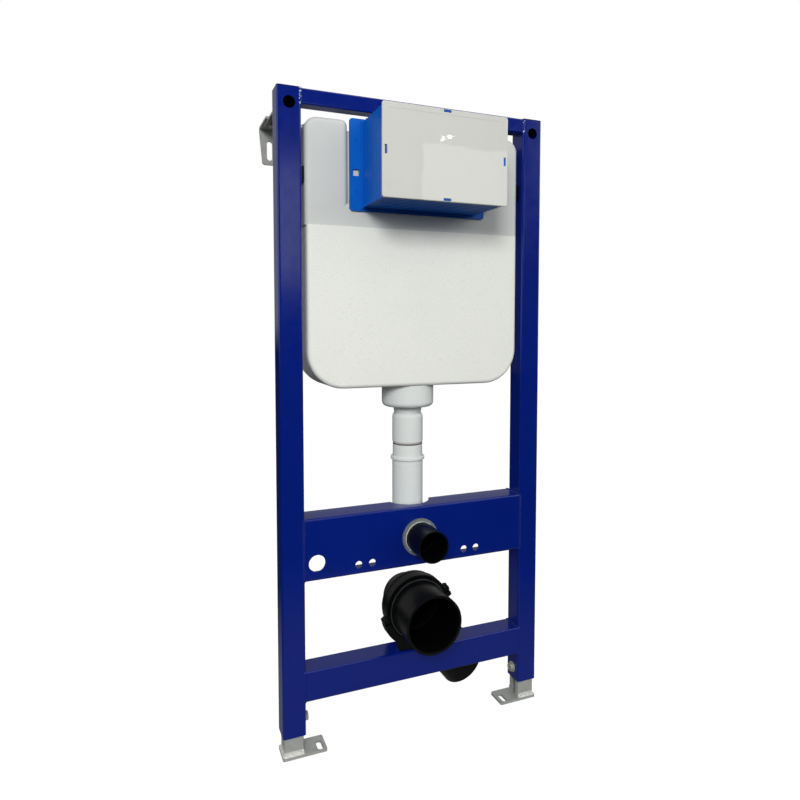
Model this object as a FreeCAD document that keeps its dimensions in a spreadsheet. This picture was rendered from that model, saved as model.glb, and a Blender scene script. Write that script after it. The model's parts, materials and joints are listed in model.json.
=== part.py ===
import FreeCAD, Part
import math
import os
import re
import Sketcher

# Wall hung toilet frame: a welded steel frame on two telescopic feet. It carries a concealed
# cistern with its insulating cover and access box, the flush pipe and the waste bend.
# Millimetres. +Z is up and the front looks towards -Y. Heights are counted from the floor, depths
# from the front face of the posts and widths from the middle of the frame. The origin of the whole
# part lies on the back face of the left wall bracket.

SIZES = {
    # welded frame
    "frame_width": 500.0,
    "frame_top": 1119.0,
    "post_width": 40.0,
    "post_depth": 40.0,
    "post_wall": 2.0,
    "post_corner": 4.0,
    "post_foot": 38.0,
    "plug_rim": 1.0,
    "plug_depth": 14.0,
    "fit_gap": 0.3,
    "wall_bolt_hole": 20.0,
    "wall_bolt_drop": 25.0,
    "rail_wall": 2.0,
    "rail_corner": 3.0,
    "top_rail_height": 26.0,
    "top_rail_depth": 25.0,
    "bottom_rail_foot": 94.5,
    "bottom_rail_height": 52.5,
    "bottom_rail_depth": 44.0,
    # rail that carries the pan
    "fixing_height": 320.0,
    "fixing_rail_below": 17.0,
    "fixing_rail_height": 107.0,
    "fixing_rail_depth": 48.0,
    "fixing_rail_sheet": 3.0,
    "fixing_rail_bend": 5.0,
    "fixing_narrow": 180.0,
    "fixing_wide": 230.0,
    "fixing_hole": 13.0,
    "service_hole": 29.0,
    "service_hole_edge": 21.0,
    "service_hole_rise": 13.0,
    "notch_radius": 40.0,
    # telescopic legs
    "leg_width": 33.0,
    "leg_sheet": 2.5,
    "leg_slot": 12.0,
    "leg_length": 300.0,
    "foot_length": 77.0,
    "foot_depth": 40.0,
    "foot_sheet": 5.0,
    "foot_corner": 3.0,
    "foot_slot_width": 10.0,
    "foot_slot_length": 26.0,
    "foot_slot_inset": 11.0,
    "foot_slot_depth": 15.0,
    "clamp_height": 60.0,
    "clamp_bolt": 8.0,
    "clamp_hole": 9.0,
    "clamp_head": 15.0,
    "clamp_head_height": 5.5,
    "clamp_washer": 20.0,
    "clamp_washer_sheet": 1.6,
    "channel_nut": 18.0,
    "channel_nut_height": 7.0,
    # wall brackets
    "wall_depth": 148.0,
    "bracket_lower": 27.0,
    "bracket_width": 36.0,
    "bracket_tip": 26.0,
    "bracket_sheet": 4.0,
    "bracket_bend": 5.0,
    "bracket_drop": 66.0,
    "bracket_reach": 69.0,
    "bracket_slot": 10.0,
    "bracket_slot_length": 34.0,
    "bracket_slot_tip": 8.0,
    "bracket_bolt_depth": 99.0,
    "bracket_bolt": 8.0,
    "bracket_bolt_head": 15.0,
    "bracket_bolt_head_height": 5.5,
    "arm_width": 30.0,
    "arm_sheet": 4.0,
    "arm_reach": 78.0,
    "origin_drop": 14.0,
    # cistern
    "tank_gap": 7.0,
    "tank_front": 6.0,
    "tank_depth": 102.0,
    "tank_drop": 39.0,
    "tank_upper": 178.0,
    "tank_corner": 22.0,
    "tank_edge": 9.5,
    "recess_gap": 1.0,
    "recess_depth": 12.0,
    "recess_corner": 11.0,
    "recess_top_drop": 16.0,
    "recess_foot_rise": 14.0,
    "boss_border": 4.0,
    "boss_lip": 20.0,
    "cover_gap": 9.0,
    "cover_front": 4.5,
    "cover_depth": 84.0,
    "cover_corner": 64.0,
    "cover_wall": 11.0,
    "cover_edge": 7.0,
    "clip_drop": 95.0,
    "clip_tall": 26.0,
    "clip_depth": 24.0,
    "clip_front": 8.0,
    # access box
    "box_drop": 75.0,
    "flange_width": 256.0,
    "flange_tall": 153.0,
    "flange_sheet": 4.0,
    "flange_corner": 5.0,
    "lug_hole": 11.0,
    "lug_hole_drop": 13.0,
    "pip_outer": 5.0,
    "pip_proud": 1.2,
    "pip_rise": 43.0,
    "flange_border": 22.0,
    "flange_lip": 6.0,
    "root_proud": 2.5,
    "root_sheet": 3.0,
    "sleeve_wall": 2.5,
    "sleeve_front": 104.0,
    "rib_count": 8.0,
    "rib_pitch": 12.0,
    "rib_width": 4.0,
    "rib_proud": 0.6,
    "rib_first": 8.0,
    "panel_border": 4.5,
    "panel_lip": 2.0,
    "panel_sheet": 4.0,
    "panel_corner": 4.0,
    "panel_edge": 1.2,
    "panel_rim": 9.0,
    "panel_dish": 0.25,
    "tab_width": 12.0,
    "tab_sheet": 2.4,
    "tab_under": 1.0,
    "tab_gap": 0.9,
    "tab_root": 4.0,
    # flush pipe
    "pipe_depth": 57.0,
    "pipe_outer": 57.0,
    "pipe_wall": 3.0,
    "pipe_spigot": 55.4,
    "pipe_tall": 80.0,
    "pipe_sleeve_tall": 52.0,
    "outlet_outer": 68.0,
    "collar_outer": 96.0,
    "collar_tall": 41.0,
    "collar_edge": 9.0,
    "neck_tall": 14.0,
    "neck_outer": 54.0,
    "tail_insert": 20.0,
    "tail_outer": 49.0,
    "tail_wall": 3.0,
    "bend_rise": 137.0,
    "bead_outer": 62.0,
    "bead_tall": 5.0,
    "flush_rise": 35.0,
    "flush_hole": 61.0,
    "flush_bend_radius": 48.0,
    "flush_ring_outer": 67.0,
    "flush_ring_sheet": 4.0,
    "stub_outer": 56.0,
    "stub_length": 55.0,
    "stub_wall": 2.5,
    "stub_gap": 2.0,
    "stub_insert": 14.0,
    # waste bend
    "waste_drop": 100.0,
    "waste_front": 65.0,
    "mouth_outer": 104.0,
    "mouth_long": 16.0,
    "sleeve_root_outer": 102.0,
    "sleeve_end": 22.0,
    "sleeve_pipe_wall": 3.5,
    "socket_outer": 122.0,
    "socket_front": 4.0,
    "bell_outer": 130.0,
    "bell_front": 30.0,
    "socket_end": 46.0,
    "waste_pipe_outer": 90.0,
    "waste_pipe_wall": 4.0,
    "waste_depth": 95.0,
    "outlet_clear": 17.4,
    "waste_turn": 38.0,
    "band_front": 6.0,
    "band_width": 18.0,
    "band_thickness": 4.0,
    "band_split": 3.0,
    "band_turn": 20.0,
    "ear_length": 7.0,
    "ear_thickness": 7.0,
    "ear_screw": 4.0,
    "ear_screw_head": 7.0,
    "ear_screw_head_height": 3.0,
    "saddle_width": 94.0,
    "saddle_depth": 25.0,
    "saddle_front": 4.0,
    "saddle_foot_rise": 20.0,
    "saddle_top_drop": 34.0,
}

# heights, widths and lengths worked out from the sizes above
WASTE_HEIGHT = "(fixing_height - waste_drop)"
FLUSH_HEIGHT = "(fixing_height + flush_rise)"
JOINT_HEIGHT = f"({FLUSH_HEIGHT} + bend_rise)"
PIPE_TOP = f"({JOINT_HEIGHT} + pipe_tall)"
COVER_BOTTOM = f"({PIPE_TOP} + neck_tall + collar_tall)"
TANK_TOP = "(frame_top - tank_drop)"
TANK_SEAM = f"({TANK_TOP} - tank_upper)"
COVER_TALL = f"({TANK_SEAM} - {COVER_BOTTOM})"
BOX_HEIGHT = f"({TANK_TOP} - box_drop)"
BRACKET_TOP = "(frame_top - bracket_lower)"
WALL_BOLT_HEIGHT = "(frame_top - wall_bolt_drop)"
FIXING_RAIL_FOOT = "(fixing_height - fixing_rail_below)"
BOTTOM_RAIL_TOP = "(bottom_rail_foot + bottom_rail_height)"
POST_SIDE = "((frame_width - post_width) / 2)"
BRACKET_SIDE = "((frame_width - arm_width) / 2)"
RAIL_LENGTH = "(frame_width - 2 * post_width)"
TANK_WIDTH = f"({RAIL_LENGTH} - 2 * tank_gap)"
COVER_WIDTH = f"({RAIL_LENGTH} - 2 * cover_gap)"
COVER_INSET = "(cover_wall + fit_gap)"
FLANGE_FRONT = "(tank_front - flange_sheet)"
SLEEVE_LENGTH = f"(sleeve_front + {FLANGE_FRONT})"
SLEEVE_WIDTH = "(flange_width - 2 * flange_border)"
SLEEVE_TALL = "(flange_tall - 2 * flange_lip)"
PANEL_WIDTH = f"({SLEEVE_WIDTH} + 2 * panel_border)"
PANEL_TALL = f"({SLEEVE_TALL} + 2 * panel_lip)"
FLUSH_BORE = "(pipe_outer / 2 - pipe_wall)"
STUB_BACK = "(flush_ring_sheet + stub_gap)"
WASTE_BORE = "(waste_pipe_outer / 2 - waste_pipe_wall)"
WASTE_LEG = (f"(({WASTE_HEIGHT} - outlet_clear - waste_pipe_outer / 2 * sin(waste_turn * 1deg))"
             " / cos(waste_turn * 1deg))")

# how close two places count as one, when edges are picked
NEAR = 0.01

doc = FreeCAD.newDocument("ToiletFrame")
sheet = doc.addObject("Spreadsheet::Sheet", "Sizes")
for row, (alias, number) in enumerate(SIZES.items(), 1):
    sheet.set(f"A{row}", alias)
    sheet.set(f"B{row}", str(number))
    sheet.setAlias(f"B{row}", alias)
doc.recompute()
pieces = []


def cells(text):
    """The expression with each size's name turned into its cell of the sheet."""
    return re.sub(r"[a-z][a-z_]+", lambda word: ("Sizes." if word[0] in SIZES else "") + word[0], text)


def bind(thing, **expressions):
    """Ties properties of an object to expressions of the sizes."""
    for name, text in expressions.items():
        thing.setExpression(name.replace("__", "."), cells(text))
    return thing


def place(thing, x, y, z):
    """Ties an object's place to expressions of the sizes."""
    return bind(thing, Placement__Base__x=x, Placement__Base__y=y, Placement__Base__z=z)


def turned(thing, axis, angle):
    """Turns an object about an axis by an expression in degrees."""
    thing.Placement = FreeCAD.Placement(FreeCAD.Vector(), FreeCAD.Rotation(FreeCAD.Vector(*axis), 0.0))
    return bind(thing, Placement__Rotation__Angle=angle)


def piece(thing, label, x="0", y="0", z="0"):
    """Names a finished piece and places it in the part's frame, whose origin is on the wall bracket."""
    thing.Label = label
    place(thing, f"{x} + {BRACKET_SIDE}", f"{y} - wall_depth", f"{z} - {BRACKET_TOP} + origin_drop")
    pieces.append(thing)
    return thing


def sketch_on(body, role, u, v, along):
    """A sketch on one of the body's planes, with its own origin at u, v and along the normal."""
    sketch = body.newObject("Sketcher::SketchObject", "Outline")
    base = [plane for plane in body.Origin.OriginFeatures if plane.Role == role]
    sketch.AttachmentSupport = [(base[0], "")]
    sketch.MapMode = "FlatFace"
    return bind(sketch, AttachmentOffset__Base__x=u, AttachmentOffset__Base__y=v, AttachmentOffset__Base__z=along)


def polygon(body, role, corners, u="0", v="0", along="0"):
    """A closed outline whose corners are pairs of expressions, none negative."""
    sketch = sketch_on(body, role, u, v, along)
    count = len(corners)
    start = [FreeCAD.Vector(1.0 + index % 7, 1.0 + index, 0.0) for index in range(count)]
    for index in range(count):
        sketch.addGeometry(Part.LineSegment(start[index], start[(index + 1) % count]))
    for index in range(count):
        sketch.addConstraint(Sketcher.Constraint("Coincident", index, 2, (index + 1) % count, 1))
    for index, (across, up) in enumerate(corners):
        for kind, axis, text, value in (("DistanceX", -2, across, start[index].x),
                                        ("DistanceY", -1, up, start[index].y)):
            if text == "0":
                sketch.addConstraint(Sketcher.Constraint("PointOnObject", index, 1, axis))
            else:
                number = sketch.addConstraint(Sketcher.Constraint(kind, -1, 1, index, 1, value))
                sketch.setExpression(f"Constraints[{number}]", cells(text))
    return sketch


def rectangle(body, role, width, height, u="0", v="0", along="0"):
    """A rectangle centred on the sketch's origin."""
    return polygon(body, role, [("0", "0"), (width, "0"), (width, height), ("0", height)],
                   f"{u} - ({width}) / 2", f"{v} - ({height}) / 2", along)


def pad(body, sketch, length, back=False):
    """Adds the sketch's outline, drawn out along its normal or against it."""
    feature = body.newObject("PartDesign::Pad", "Pad")
    feature.Profile = sketch
    feature.Reversed = back
    bind(feature, Length=length)
    doc.recompute()
    return feature


def pocket(body, sketch, length, back=False):
    """Cuts the sketch's outline out of the body, against its normal unless back is set."""
    before = body.Shape.Volume
    feature = body.newObject("PartDesign::Pocket", "Pocket")
    feature.Profile = sketch
    feature.Reversed = back
    bind(feature, Length=length)
    doc.recompute()
    if body.Shape.Volume >= before:
        raise RuntimeError(f"a pocket of {body.Label} cuts nothing")
    return feature


def round_edges(body, radius, choose):
    """Rounds the edges of the body's last feature that choose picks."""
    base = body.Tip
    names = [f"Edge{number}" for number, edge in enumerate(base.Shape.Edges, 1) if choose(edge)]
    feature = body.newObject("PartDesign::Fillet", "Round")
    feature.Base = (base, names)
    bind(feature, Radius=radius)
    doc.recompute()
    return feature


def runs_along(axis):
    """Picks the straight edges that run along one axis of the body."""
    return lambda edge: isinstance(edge.Curve, Part.Line) and abs(edge.Curve.Direction[axis]) > 1.0 - NEAR


def at_end(body, axis, sign):
    """Picks the edges along Y at the body's lower end (sign 1) or upper end (sign -1) on an axis."""
    end = min(sign * edge.CenterOfMass[axis] for edge in body.Tip.Shape.Edges)
    return lambda edge: runs_along(1)(edge) and sign * edge.CenterOfMass[axis] < end + NEAR


def farthest(body):
    """Picks the upright edges that lie farthest from the body's own axis."""
    upright = [edge.CenterOfMass for edge in body.Tip.Shape.Edges if runs_along(2)(edge)]
    reach = max(math.hypot(spot.x, spot.y) for spot in upright)
    return lambda edge: runs_along(2)(edge) and math.hypot(edge.CenterOfMass.x, edge.CenterOfMass.y) > reach - NEAR


def front_rim(body):
    """Picks the edges of the body's front face, apart from a level one at its own height zero."""
    front = min(edge.BoundBox.YMin for edge in body.Tip.Shape.Edges)
    return lambda edge: (edge.BoundBox.YMax < front + NEAR
                         and not (runs_along(0)(edge) and abs(edge.CenterOfMass.z) < NEAR))


def lowest_widest_circle(body):
    """Picks the lowest of the body's widest circles."""
    circles = [edge for edge in body.Tip.Shape.Edges if isinstance(edge.Curve, Part.Circle)]
    reach = max(edge.Curve.Radius for edge in circles) - NEAR
    end = min(edge.CenterOfMass.z for edge in circles if edge.Curve.Radius > reach) + NEAR
    return lambda edge: (isinstance(edge.Curve, Part.Circle) and edge.Curve.Radius > reach
                         and edge.CenterOfMass.z < end)


def inmost(body, choose):
    """Picks, of the chosen edges, the ones nearest to the middle plane."""
    reach = min(abs(edge.CenterOfMass.x) for edge in body.Tip.Shape.Edges if choose(edge)) + NEAR
    return lambda edge: choose(edge) and abs(edge.CenterOfMass.x) < reach


def new_body(name):
    return doc.addObject("PartDesign::Body", name)


def spun(name, role, axis, corners, start="0"):
    """A body turned about one axis of its sketch."""
    body = new_body(name)
    sketch = polygon(body, role, corners, start)
    turn = body.newObject("PartDesign::Revolution", "Turn")
    turn.Profile = sketch
    turn.ReferenceAxis = (sketch, [axis])
    turn.Angle = 360.0
    doc.recompute()
    return body


def turned_level(name, corners, start="0"):
    """A body turned about its own Y axis, from corners of depth and radius."""
    return spun(name, "YZ_Plane", "H_Axis", corners, start)


def turned_upright(name, corners):
    """A body turned about its own Z axis, from corners of radius and height."""
    return spun(name, "XZ_Plane", "V_Axis", corners)


ALONG = {"X": FreeCAD.Rotation(FreeCAD.Vector(0, 1, 0), 90.0),
         "Y": FreeCAD.Rotation(FreeCAD.Vector(1, 0, 0), -90.0),
         "Z": FreeCAD.Rotation()}
HALF_TURN = FreeCAD.Placement(FreeCAD.Vector(), FreeCAD.Rotation(FreeCAD.Vector(0, 0, 1), 180.0))


def rod(axis, diameter, length, x="0", y="0", z="0"):
    """A round bar that starts at a point and runs along an axis."""
    bar = doc.addObject("Part::Cylinder", "Rod")
    bar.Placement = FreeCAD.Placement(FreeCAD.Vector(), ALONG[axis])
    bind(bar, Radius=f"({diameter}) / 2", Height=length)
    return place(bar, x, y, z)


def block(width, depth, height, x="0", y="0", z="0"):
    """A box with its lowest corner at a point."""
    box = doc.addObject("Part::Box", "Block")
    bind(box, Length=width, Width=depth, Height=height)
    return place(box, x, y, z)


def hexagon(axis, flats, height, x="0", y="0", z="0"):
    """A hexagon bolt head that starts at a point and runs along an axis."""
    head = doc.addObject("Part::Prism", "Head")
    head.Polygon = 6
    head.Placement = FreeCAD.Placement(FreeCAD.Vector(), ALONG[axis])
    bind(head, Circumradius=f"({flats}) / sqrt(3)", Height=height)
    return place(head, x, y, z)


def fused(*shapes):
    join = doc.addObject("Part::MultiFuse", "Fuse")
    join.Shapes = list(shapes)
    return join


def cut(base, *tools):
    result = doc.addObject("Part::Cut", "Cut")
    result.Base = base
    result.Tool = tools[0] if len(tools) == 1 else fused(*tools)
    return result


def common(first, second):
    result = doc.addObject("Part::Common", "Common")
    result.Base = first
    result.Tool = second
    return result


def slot_tool(axis, across, width, length, depth, x, y, z):
    """A round-ended slot: drawn out along one axis, long across another, centred on a point."""
    half = f"(({length}) - ({width})) / 2"
    ends = []
    for sign in ("-", "+"):
        spot = {"X": x, "Y": y, "Z": z}
        spot[across] = f"{spot[across]} {sign} {half}"
        ends.append(rod(axis, width, depth, spot["X"], spot["Y"], spot["Z"]))
    span = {axis: depth, across: f"({length}) - ({width})"}
    corner = {"X": x, "Y": y, "Z": z}
    for name in "XYZ":
        if name != axis:
            span.setdefault(name, width)
            corner[name] = f"{corner[name]} - ({span[name]}) / 2"
    bar = block(span["X"], span["Y"], span["Z"], corner["X"], corner["Y"], corner["Z"])
    return fused(bar, *ends)


def tube(name, width, height, length, wall, corner):
    """A rectangular tube along its own Z, centred on the axis, with rounded corners."""
    body = new_body(name)
    pad(body, rectangle(body, "XY_Plane", width, height), length)
    round_edges(body, corner, runs_along(2))
    inner = rectangle(body, "XY_Plane", f"{width} - 2 * {wall}", f"{height} - 2 * {wall}", along=length)
    pocket(body, inner, length)
    return body


def side_rail(name, depth, height, wall, corner):
    """A rectangular tube along X between the posts, centred on x, with its front at y zero."""
    body = new_body(name)
    start = f"-{RAIL_LENGTH} / 2"
    middle = (f"{depth} / 2", f"{height} / 2", start)
    pad(body, rectangle(body, "YZ_Plane", depth, height, *middle), RAIL_LENGTH)
    round_edges(body, corner, runs_along(0))
    inner = rectangle(body, "YZ_Plane", f"{depth} - 2 * {wall}", f"{height} - 2 * {wall}", *middle)
    pocket(body, inner, RAIL_LENGTH, back=True)
    return body


def elbow(outer, bore, bend_radius, upper, front):
    """A bent tube: down a straight, round a quarter turn and out along -Y, about the front axis."""
    straight = f"({upper}) - ({bend_radius})"
    run = f"({front}) - ({bend_radius})"
    quarter = FreeCAD.Rotation(FreeCAD.Vector(0, 1, 0), FreeCAD.Vector(0, 0, -1), FreeCAD.Vector(-1, 0, 0), "ZXY")
    parts = []
    for radius, spare in ((outer, "0"), (bore, "fit_gap")):
        ring = doc.addObject("Part::Torus", "Bend")
        ring.Placement = FreeCAD.Placement(FreeCAD.Vector(), quarter)
        ring.Angle3 = 90.0
        bind(ring, Radius1=bend_radius, Radius2=radius)
        place(ring, "0", f"-({bend_radius})", bend_radius)
        down = rod("Z", f"2 * ({radius})", f"{straight} + {spare}", "0", "0", bend_radius)
        ahead = rod("Y", f"2 * ({radius})", f"{run} + {spare}", "0", f"-({front}) - {spare}", "0")
        parts.append(fused(ring, down, ahead))
    return parts


def signed(side, text):
    """The expression, made negative on the left side."""
    return f"-({text})" if side == "left" else f"({text})"


# posts, with the wall bolt's holes near the top and the clamp bolt's hole near the foot
for side in ("left", "right"):
    shaft = tube(f"{side}_post_tube", "post_width", "post_depth", "frame_top - post_foot", "post_wall",
                 "post_corner")
    wall_bolt = rod("Y", "wall_bolt_hole", "2 * post_depth", "0", "-post_depth", f"{WALL_BOLT_HEIGHT} - post_foot")
    inward = "-post_width" if side == "right" else "0"
    clamp_hole = rod("X", "clamp_hole", "post_width", inward, "0", "clamp_height - post_foot")
    piece(cut(shaft, wall_bolt, clamp_hole), f"{side}_post", signed(side, POST_SIDE), "post_depth / 2", "post_foot")

# plastic plugs that close the posts' upper ends
for side in ("left", "right"):
    plug = new_body(f"{side}_plug_body")
    stem = "- 2 * post_wall - 2 * fit_gap"
    pad(plug, rectangle(plug, "XY_Plane", f"post_width {stem}", f"post_depth {stem}"), "plug_depth", back=True)
    pad(plug, rectangle(plug, "XY_Plane", "post_width", "post_depth"), "plug_rim")
    round_edges(plug, "post_corner", farthest(plug))
    piece(plug, f"{side}_post_plug", signed(side, POST_SIDE), "post_depth / 2", "frame_top")

# top and bottom rails
piece(side_rail("top_rail_tube", "top_rail_depth", "top_rail_height", "rail_wall", "rail_corner"), "top_rail",
      z="frame_top - top_rail_height")
piece(side_rail("bottom_rail_tube", "bottom_rail_depth", "bottom_rail_height", "rail_wall", "rail_corner"),
      "bottom_rail", z="bottom_rail_foot")

# fixing rail: a folded channel, open at the back, with the pan's fixing holes
channel = new_body("fixing_channel")
rail_top_inside = "fixing_rail_height - fixing_rail_sheet"
pad(channel, polygon(channel, "YZ_Plane", [
    ("0", "0"), ("fixing_rail_depth", "0"), ("fixing_rail_depth", "fixing_rail_sheet"),
    ("fixing_rail_sheet", "fixing_rail_sheet"), ("fixing_rail_sheet", rail_top_inside),
    ("fixing_rail_depth", rail_top_inside), ("fixing_rail_depth", "fixing_rail_height"),
    ("0", "fixing_rail_height")], along=f"-{RAIL_LENGTH} / 2"), RAIL_LENGTH)
round_edges(channel, "fixing_rail_bend", lambda edge: runs_along(0)(edge) and abs(edge.CenterOfMass.y) < NEAR)


def rail_hole(diameter, x, rise):
    """A round hole through the channel's front, at a height above the pan's fixings."""
    return rod("Y", diameter, "3 * fixing_rail_sheet", x, "-fixing_rail_sheet", f"fixing_rail_below + {rise}")


holes = [rail_hole("fixing_hole", f"{sign}{spacing} / 2", "0")
         for spacing in ("fixing_narrow", "fixing_wide") for sign in ("-", "")]
holes.append(rail_hole("service_hole", f"service_hole_edge - {RAIL_LENGTH} / 2", "service_hole_rise"))
holes.append(rail_hole("flush_hole", "0", "flush_rise"))
holes.append(rod("Z", "2 * notch_radius", "2 * fixing_rail_bend", "0", "pipe_depth",
                 "fixing_rail_height - fixing_rail_bend"))
piece(cut(channel, *holes), "fixing_rail", z=FIXING_RAIL_FOOT)

# telescopic legs: lipped channels that slide in the posts, open towards the middle of the frame
for side in ("left", "right"):
    leg = new_body(f"{side}_leg_channel")
    lip = "(leg_width - leg_slot) / 2"
    inner = "leg_width - leg_sheet"
    pad(leg, polygon(leg, "XY_Plane", [
        ("0", "0"), ("leg_width", "0"), ("leg_width", lip), (inner, lip), (inner, "leg_sheet"),
        ("leg_sheet", "leg_sheet"), ("leg_sheet", inner), (inner, inner), (inner, f"leg_width - {lip}"),
        ("leg_width", f"leg_width - {lip}"), ("leg_width", "leg_width"), ("0", "leg_width")],
        "-leg_width / 2", "-leg_width / 2"), "leg_length")
    round_edges(leg, "leg_sheet", farthest(leg))
    if side == "right":
        leg.Placement = HALF_TURN
    piece(leg, f"{side}_leg", signed(side, POST_SIDE), "post_depth / 2", "foot_sheet")

# foot plates with a slot for the floor screw, reaching inwards from the post's outer face
for side in ("left", "right"):
    plate = new_body(f"{side}_foot_blank")
    pad(plate, rectangle(plate, "XY_Plane", "foot_length", "foot_depth"), "foot_sheet")
    round_edges(plate, "foot_corner", runs_along(2))
    slot_side = "foot_length / 2 - foot_slot_inset"
    slot = slot_tool("Z", "Y", "foot_slot_width", "foot_slot_length", "3 * foot_sheet",
                     slot_side if side == "left" else f"-({slot_side})", "foot_slot_depth - foot_depth / 2",
                     "-foot_sheet")
    piece(cut(plate, slot), f"{side}_foot_plate", signed(side, "(frame_width - foot_length) / 2"),
          "post_depth / 2", "0")

# clamp bolts: head and washer on the post's inner face, square nut inside the leg's lips
for side in ("left", "right"):
    lip_face = "((post_width - leg_width) / 2 + leg_sheet + fit_gap)"
    nut_end = f"-{lip_face} - channel_nut_height"
    bolt = fused(rod("X", "clamp_washer", "clamp_washer_sheet"),
                 hexagon("X", "clamp_head", "clamp_head_height", "clamp_washer_sheet"),
                 rod("X", "clamp_bolt", f"{lip_face} + channel_nut_height", nut_end),
                 block("channel_nut_height", "channel_nut", "channel_nut", nut_end,
                       "-channel_nut / 2", "-channel_nut / 2"))
    if side == "right":
        bolt.Placement = HALF_TURN
    piece(bolt, f"{side}_clamp_bolt", signed(side, "frame_width / 2 - post_width"), "post_depth / 2", "clamp_height")

# wall brackets: an arm welded behind each post carries a slotted angle that is screwed to the wall
for side in ("left", "right"):
    arm = new_body(f"{side}_arm_bar")
    pad(arm, rectangle(arm, "XY_Plane", "arm_width", "arm_reach", v="arm_reach / 2"), "arm_sheet")
    arm_hole = rod("Z", "bracket_bolt + 2 * fit_gap", "3 * arm_sheet", "0", "bracket_bolt_depth - post_depth",
                   "-arm_sheet")
    piece(cut(arm, arm_hole), f"{side}_wall_arm", signed(side, BRACKET_SIDE), "post_depth",
          f"{BRACKET_TOP} - bracket_sheet - arm_sheet")

    angle = new_body(f"{side}_bracket_angle")
    under = "bracket_drop - bracket_sheet"
    ahead = "bracket_reach - bracket_sheet"
    pad(angle, polygon(angle, "YZ_Plane", [
        ("0", under), (ahead, under), (ahead, "0"), ("bracket_reach", "0"), ("bracket_reach", "bracket_drop"),
        ("0", "bracket_drop")], "-bracket_reach", "-bracket_drop", "-bracket_width / 2"), "bracket_width")
    round_edges(angle, "bracket_bend", lambda edge: runs_along(0)(edge)
                and math.hypot(edge.CenterOfMass.y, edge.CenterOfMass.z) < NEAR)
    outline = new_body(f"{side}_bracket_outline")
    spare = "(bracket_width - bracket_tip) / 2"
    knee = "bracket_drop - 2 * bracket_bend"
    pad(outline, polygon(outline, "XZ_Plane", [
        (spare, "0"), (f"{spare} + bracket_tip", "0"), ("bracket_width", knee), ("bracket_width", "bracket_drop"),
        ("0", "bracket_drop"), ("0", knee)], "-bracket_width / 2", "-bracket_drop"), "bracket_reach")
    round_edges(outline, "bracket_bend", at_end(outline, 2, 1))
    wall_slot = slot_tool("Y", "Z", "bracket_slot", "bracket_slot_length", "3 * bracket_sheet", "0",
                          "-2 * bracket_sheet", "bracket_slot_tip + bracket_slot_length / 2 - bracket_drop")
    depth_slot = slot_tool("Z", "Y", "bracket_slot", "bracket_slot_length", "3 * bracket_sheet", "0",
                           "bracket_bolt_depth - wall_depth", "-2 * bracket_sheet")
    piece(cut(common(angle, outline), wall_slot, depth_slot), f"{side}_wall_bracket",
          signed(side, BRACKET_SIDE), "wall_depth", BRACKET_TOP)

    grip = "arm_sheet + bracket_sheet"
    nut_under = f"-({grip}) - bracket_bolt_head_height"
    fastener = fused(hexagon("Z", "bracket_bolt_head", "bracket_bolt_head_height"),
                     rod("Z", "bracket_bolt", f"{grip} + bracket_bolt_head_height", "0", "0", nut_under),
                     hexagon("Z", "bracket_bolt_head", "bracket_bolt_head_height", "0", "0", nut_under))
    piece(fastener, f"{side}_bracket_bolt", signed(side, BRACKET_SIDE), "bracket_bolt_depth", BRACKET_TOP)

# cistern: full depth above the seam, drawn in below it to take the insulating cover. Its front has a
# recess, open at the top, with a boss in it that carries the access box's flange
tank = new_body("tank_shell")
pad(tank, rectangle(tank, "XZ_Plane", TANK_WIDTH, "tank_upper", v="tank_upper / 2"), "tank_depth", back=True)
round_edges(tank, "tank_corner", at_end(tank, 2, -1))
box_middle = "(tank_upper - box_drop)"
recess_width = "flange_width + 2 * recess_gap"
recess_top = "(tank_upper - recess_top_drop)"
pocket(tank, rectangle(tank, "XZ_Plane", recess_width, "recess_top_drop", v=f"{recess_top} + recess_top_drop / 2"),
       "tank_depth")
round_edges(tank, "recess_corner", inmost(tank, at_end(tank, 2, -1)))
recess_tall = f"({recess_top} - {box_middle} + flange_tall / 2 - recess_foot_rise)"
pocket(tank, rectangle(tank, "XZ_Plane", recess_width, recess_tall, v=f"{recess_top} - {recess_tall} / 2"),
       "recess_depth")
round_edges(tank, "tank_edge", front_rim(tank))
pad(tank, rectangle(tank, "XZ_Plane", "flange_width - 2 * boss_border", "flange_tall - 2 * boss_lip", v=box_middle,
                    along="-recess_depth"), "recess_depth")
lower_width = f"{COVER_WIDTH} - 2 * {COVER_INSET}"
lower_height = f"{COVER_TALL} - {COVER_INSET}"
lower_front = f"(cover_front - tank_front + {COVER_INSET})"
pad(tank, rectangle(tank, "XZ_Plane", lower_width, lower_height, v=f"-({lower_height}) / 2",
                    along=f"-{lower_front}"), f"tank_depth - {lower_front}", back=True)
round_edges(tank, f"cover_corner - {COVER_INSET}", at_end(tank, 2, 1))
piece(tank, "cistern_tank", y="tank_front", z=TANK_SEAM)

# insulating cover of foamed beads round the lower cistern: front, sides and floor in one shell, with
# a slot in its floor that slides over the cistern's outlet
cover = new_body("cover_shell")
pad(cover, rectangle(cover, "XZ_Plane", COVER_WIDTH, COVER_TALL, v=f"-{COVER_TALL} / 2"), "cover_depth", back=True)
round_edges(cover, "cover_corner", at_end(cover, 2, 1))
round_edges(cover, "cover_edge", front_rim(cover))
hollow = new_body("cover_hollow")
hollow_height = f"({COVER_TALL} - cover_wall)"
pad(hollow, rectangle(hollow, "XZ_Plane", f"{COVER_WIDTH} - 2 * cover_wall", hollow_height,
                      v=f"-{hollow_height} / 2", along="-cover_wall"), "cover_depth", back=True)
round_edges(hollow, "cover_corner - cover_wall", at_end(hollow, 2, 1))
outlet_gap = "(outlet_outer + 2 * fit_gap)"
floor_place = f"-{COVER_TALL} - cover_wall"
outlet_hole = rod("Z", outlet_gap, "3 * cover_wall", "0", "pipe_depth - cover_front", floor_place)
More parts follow.
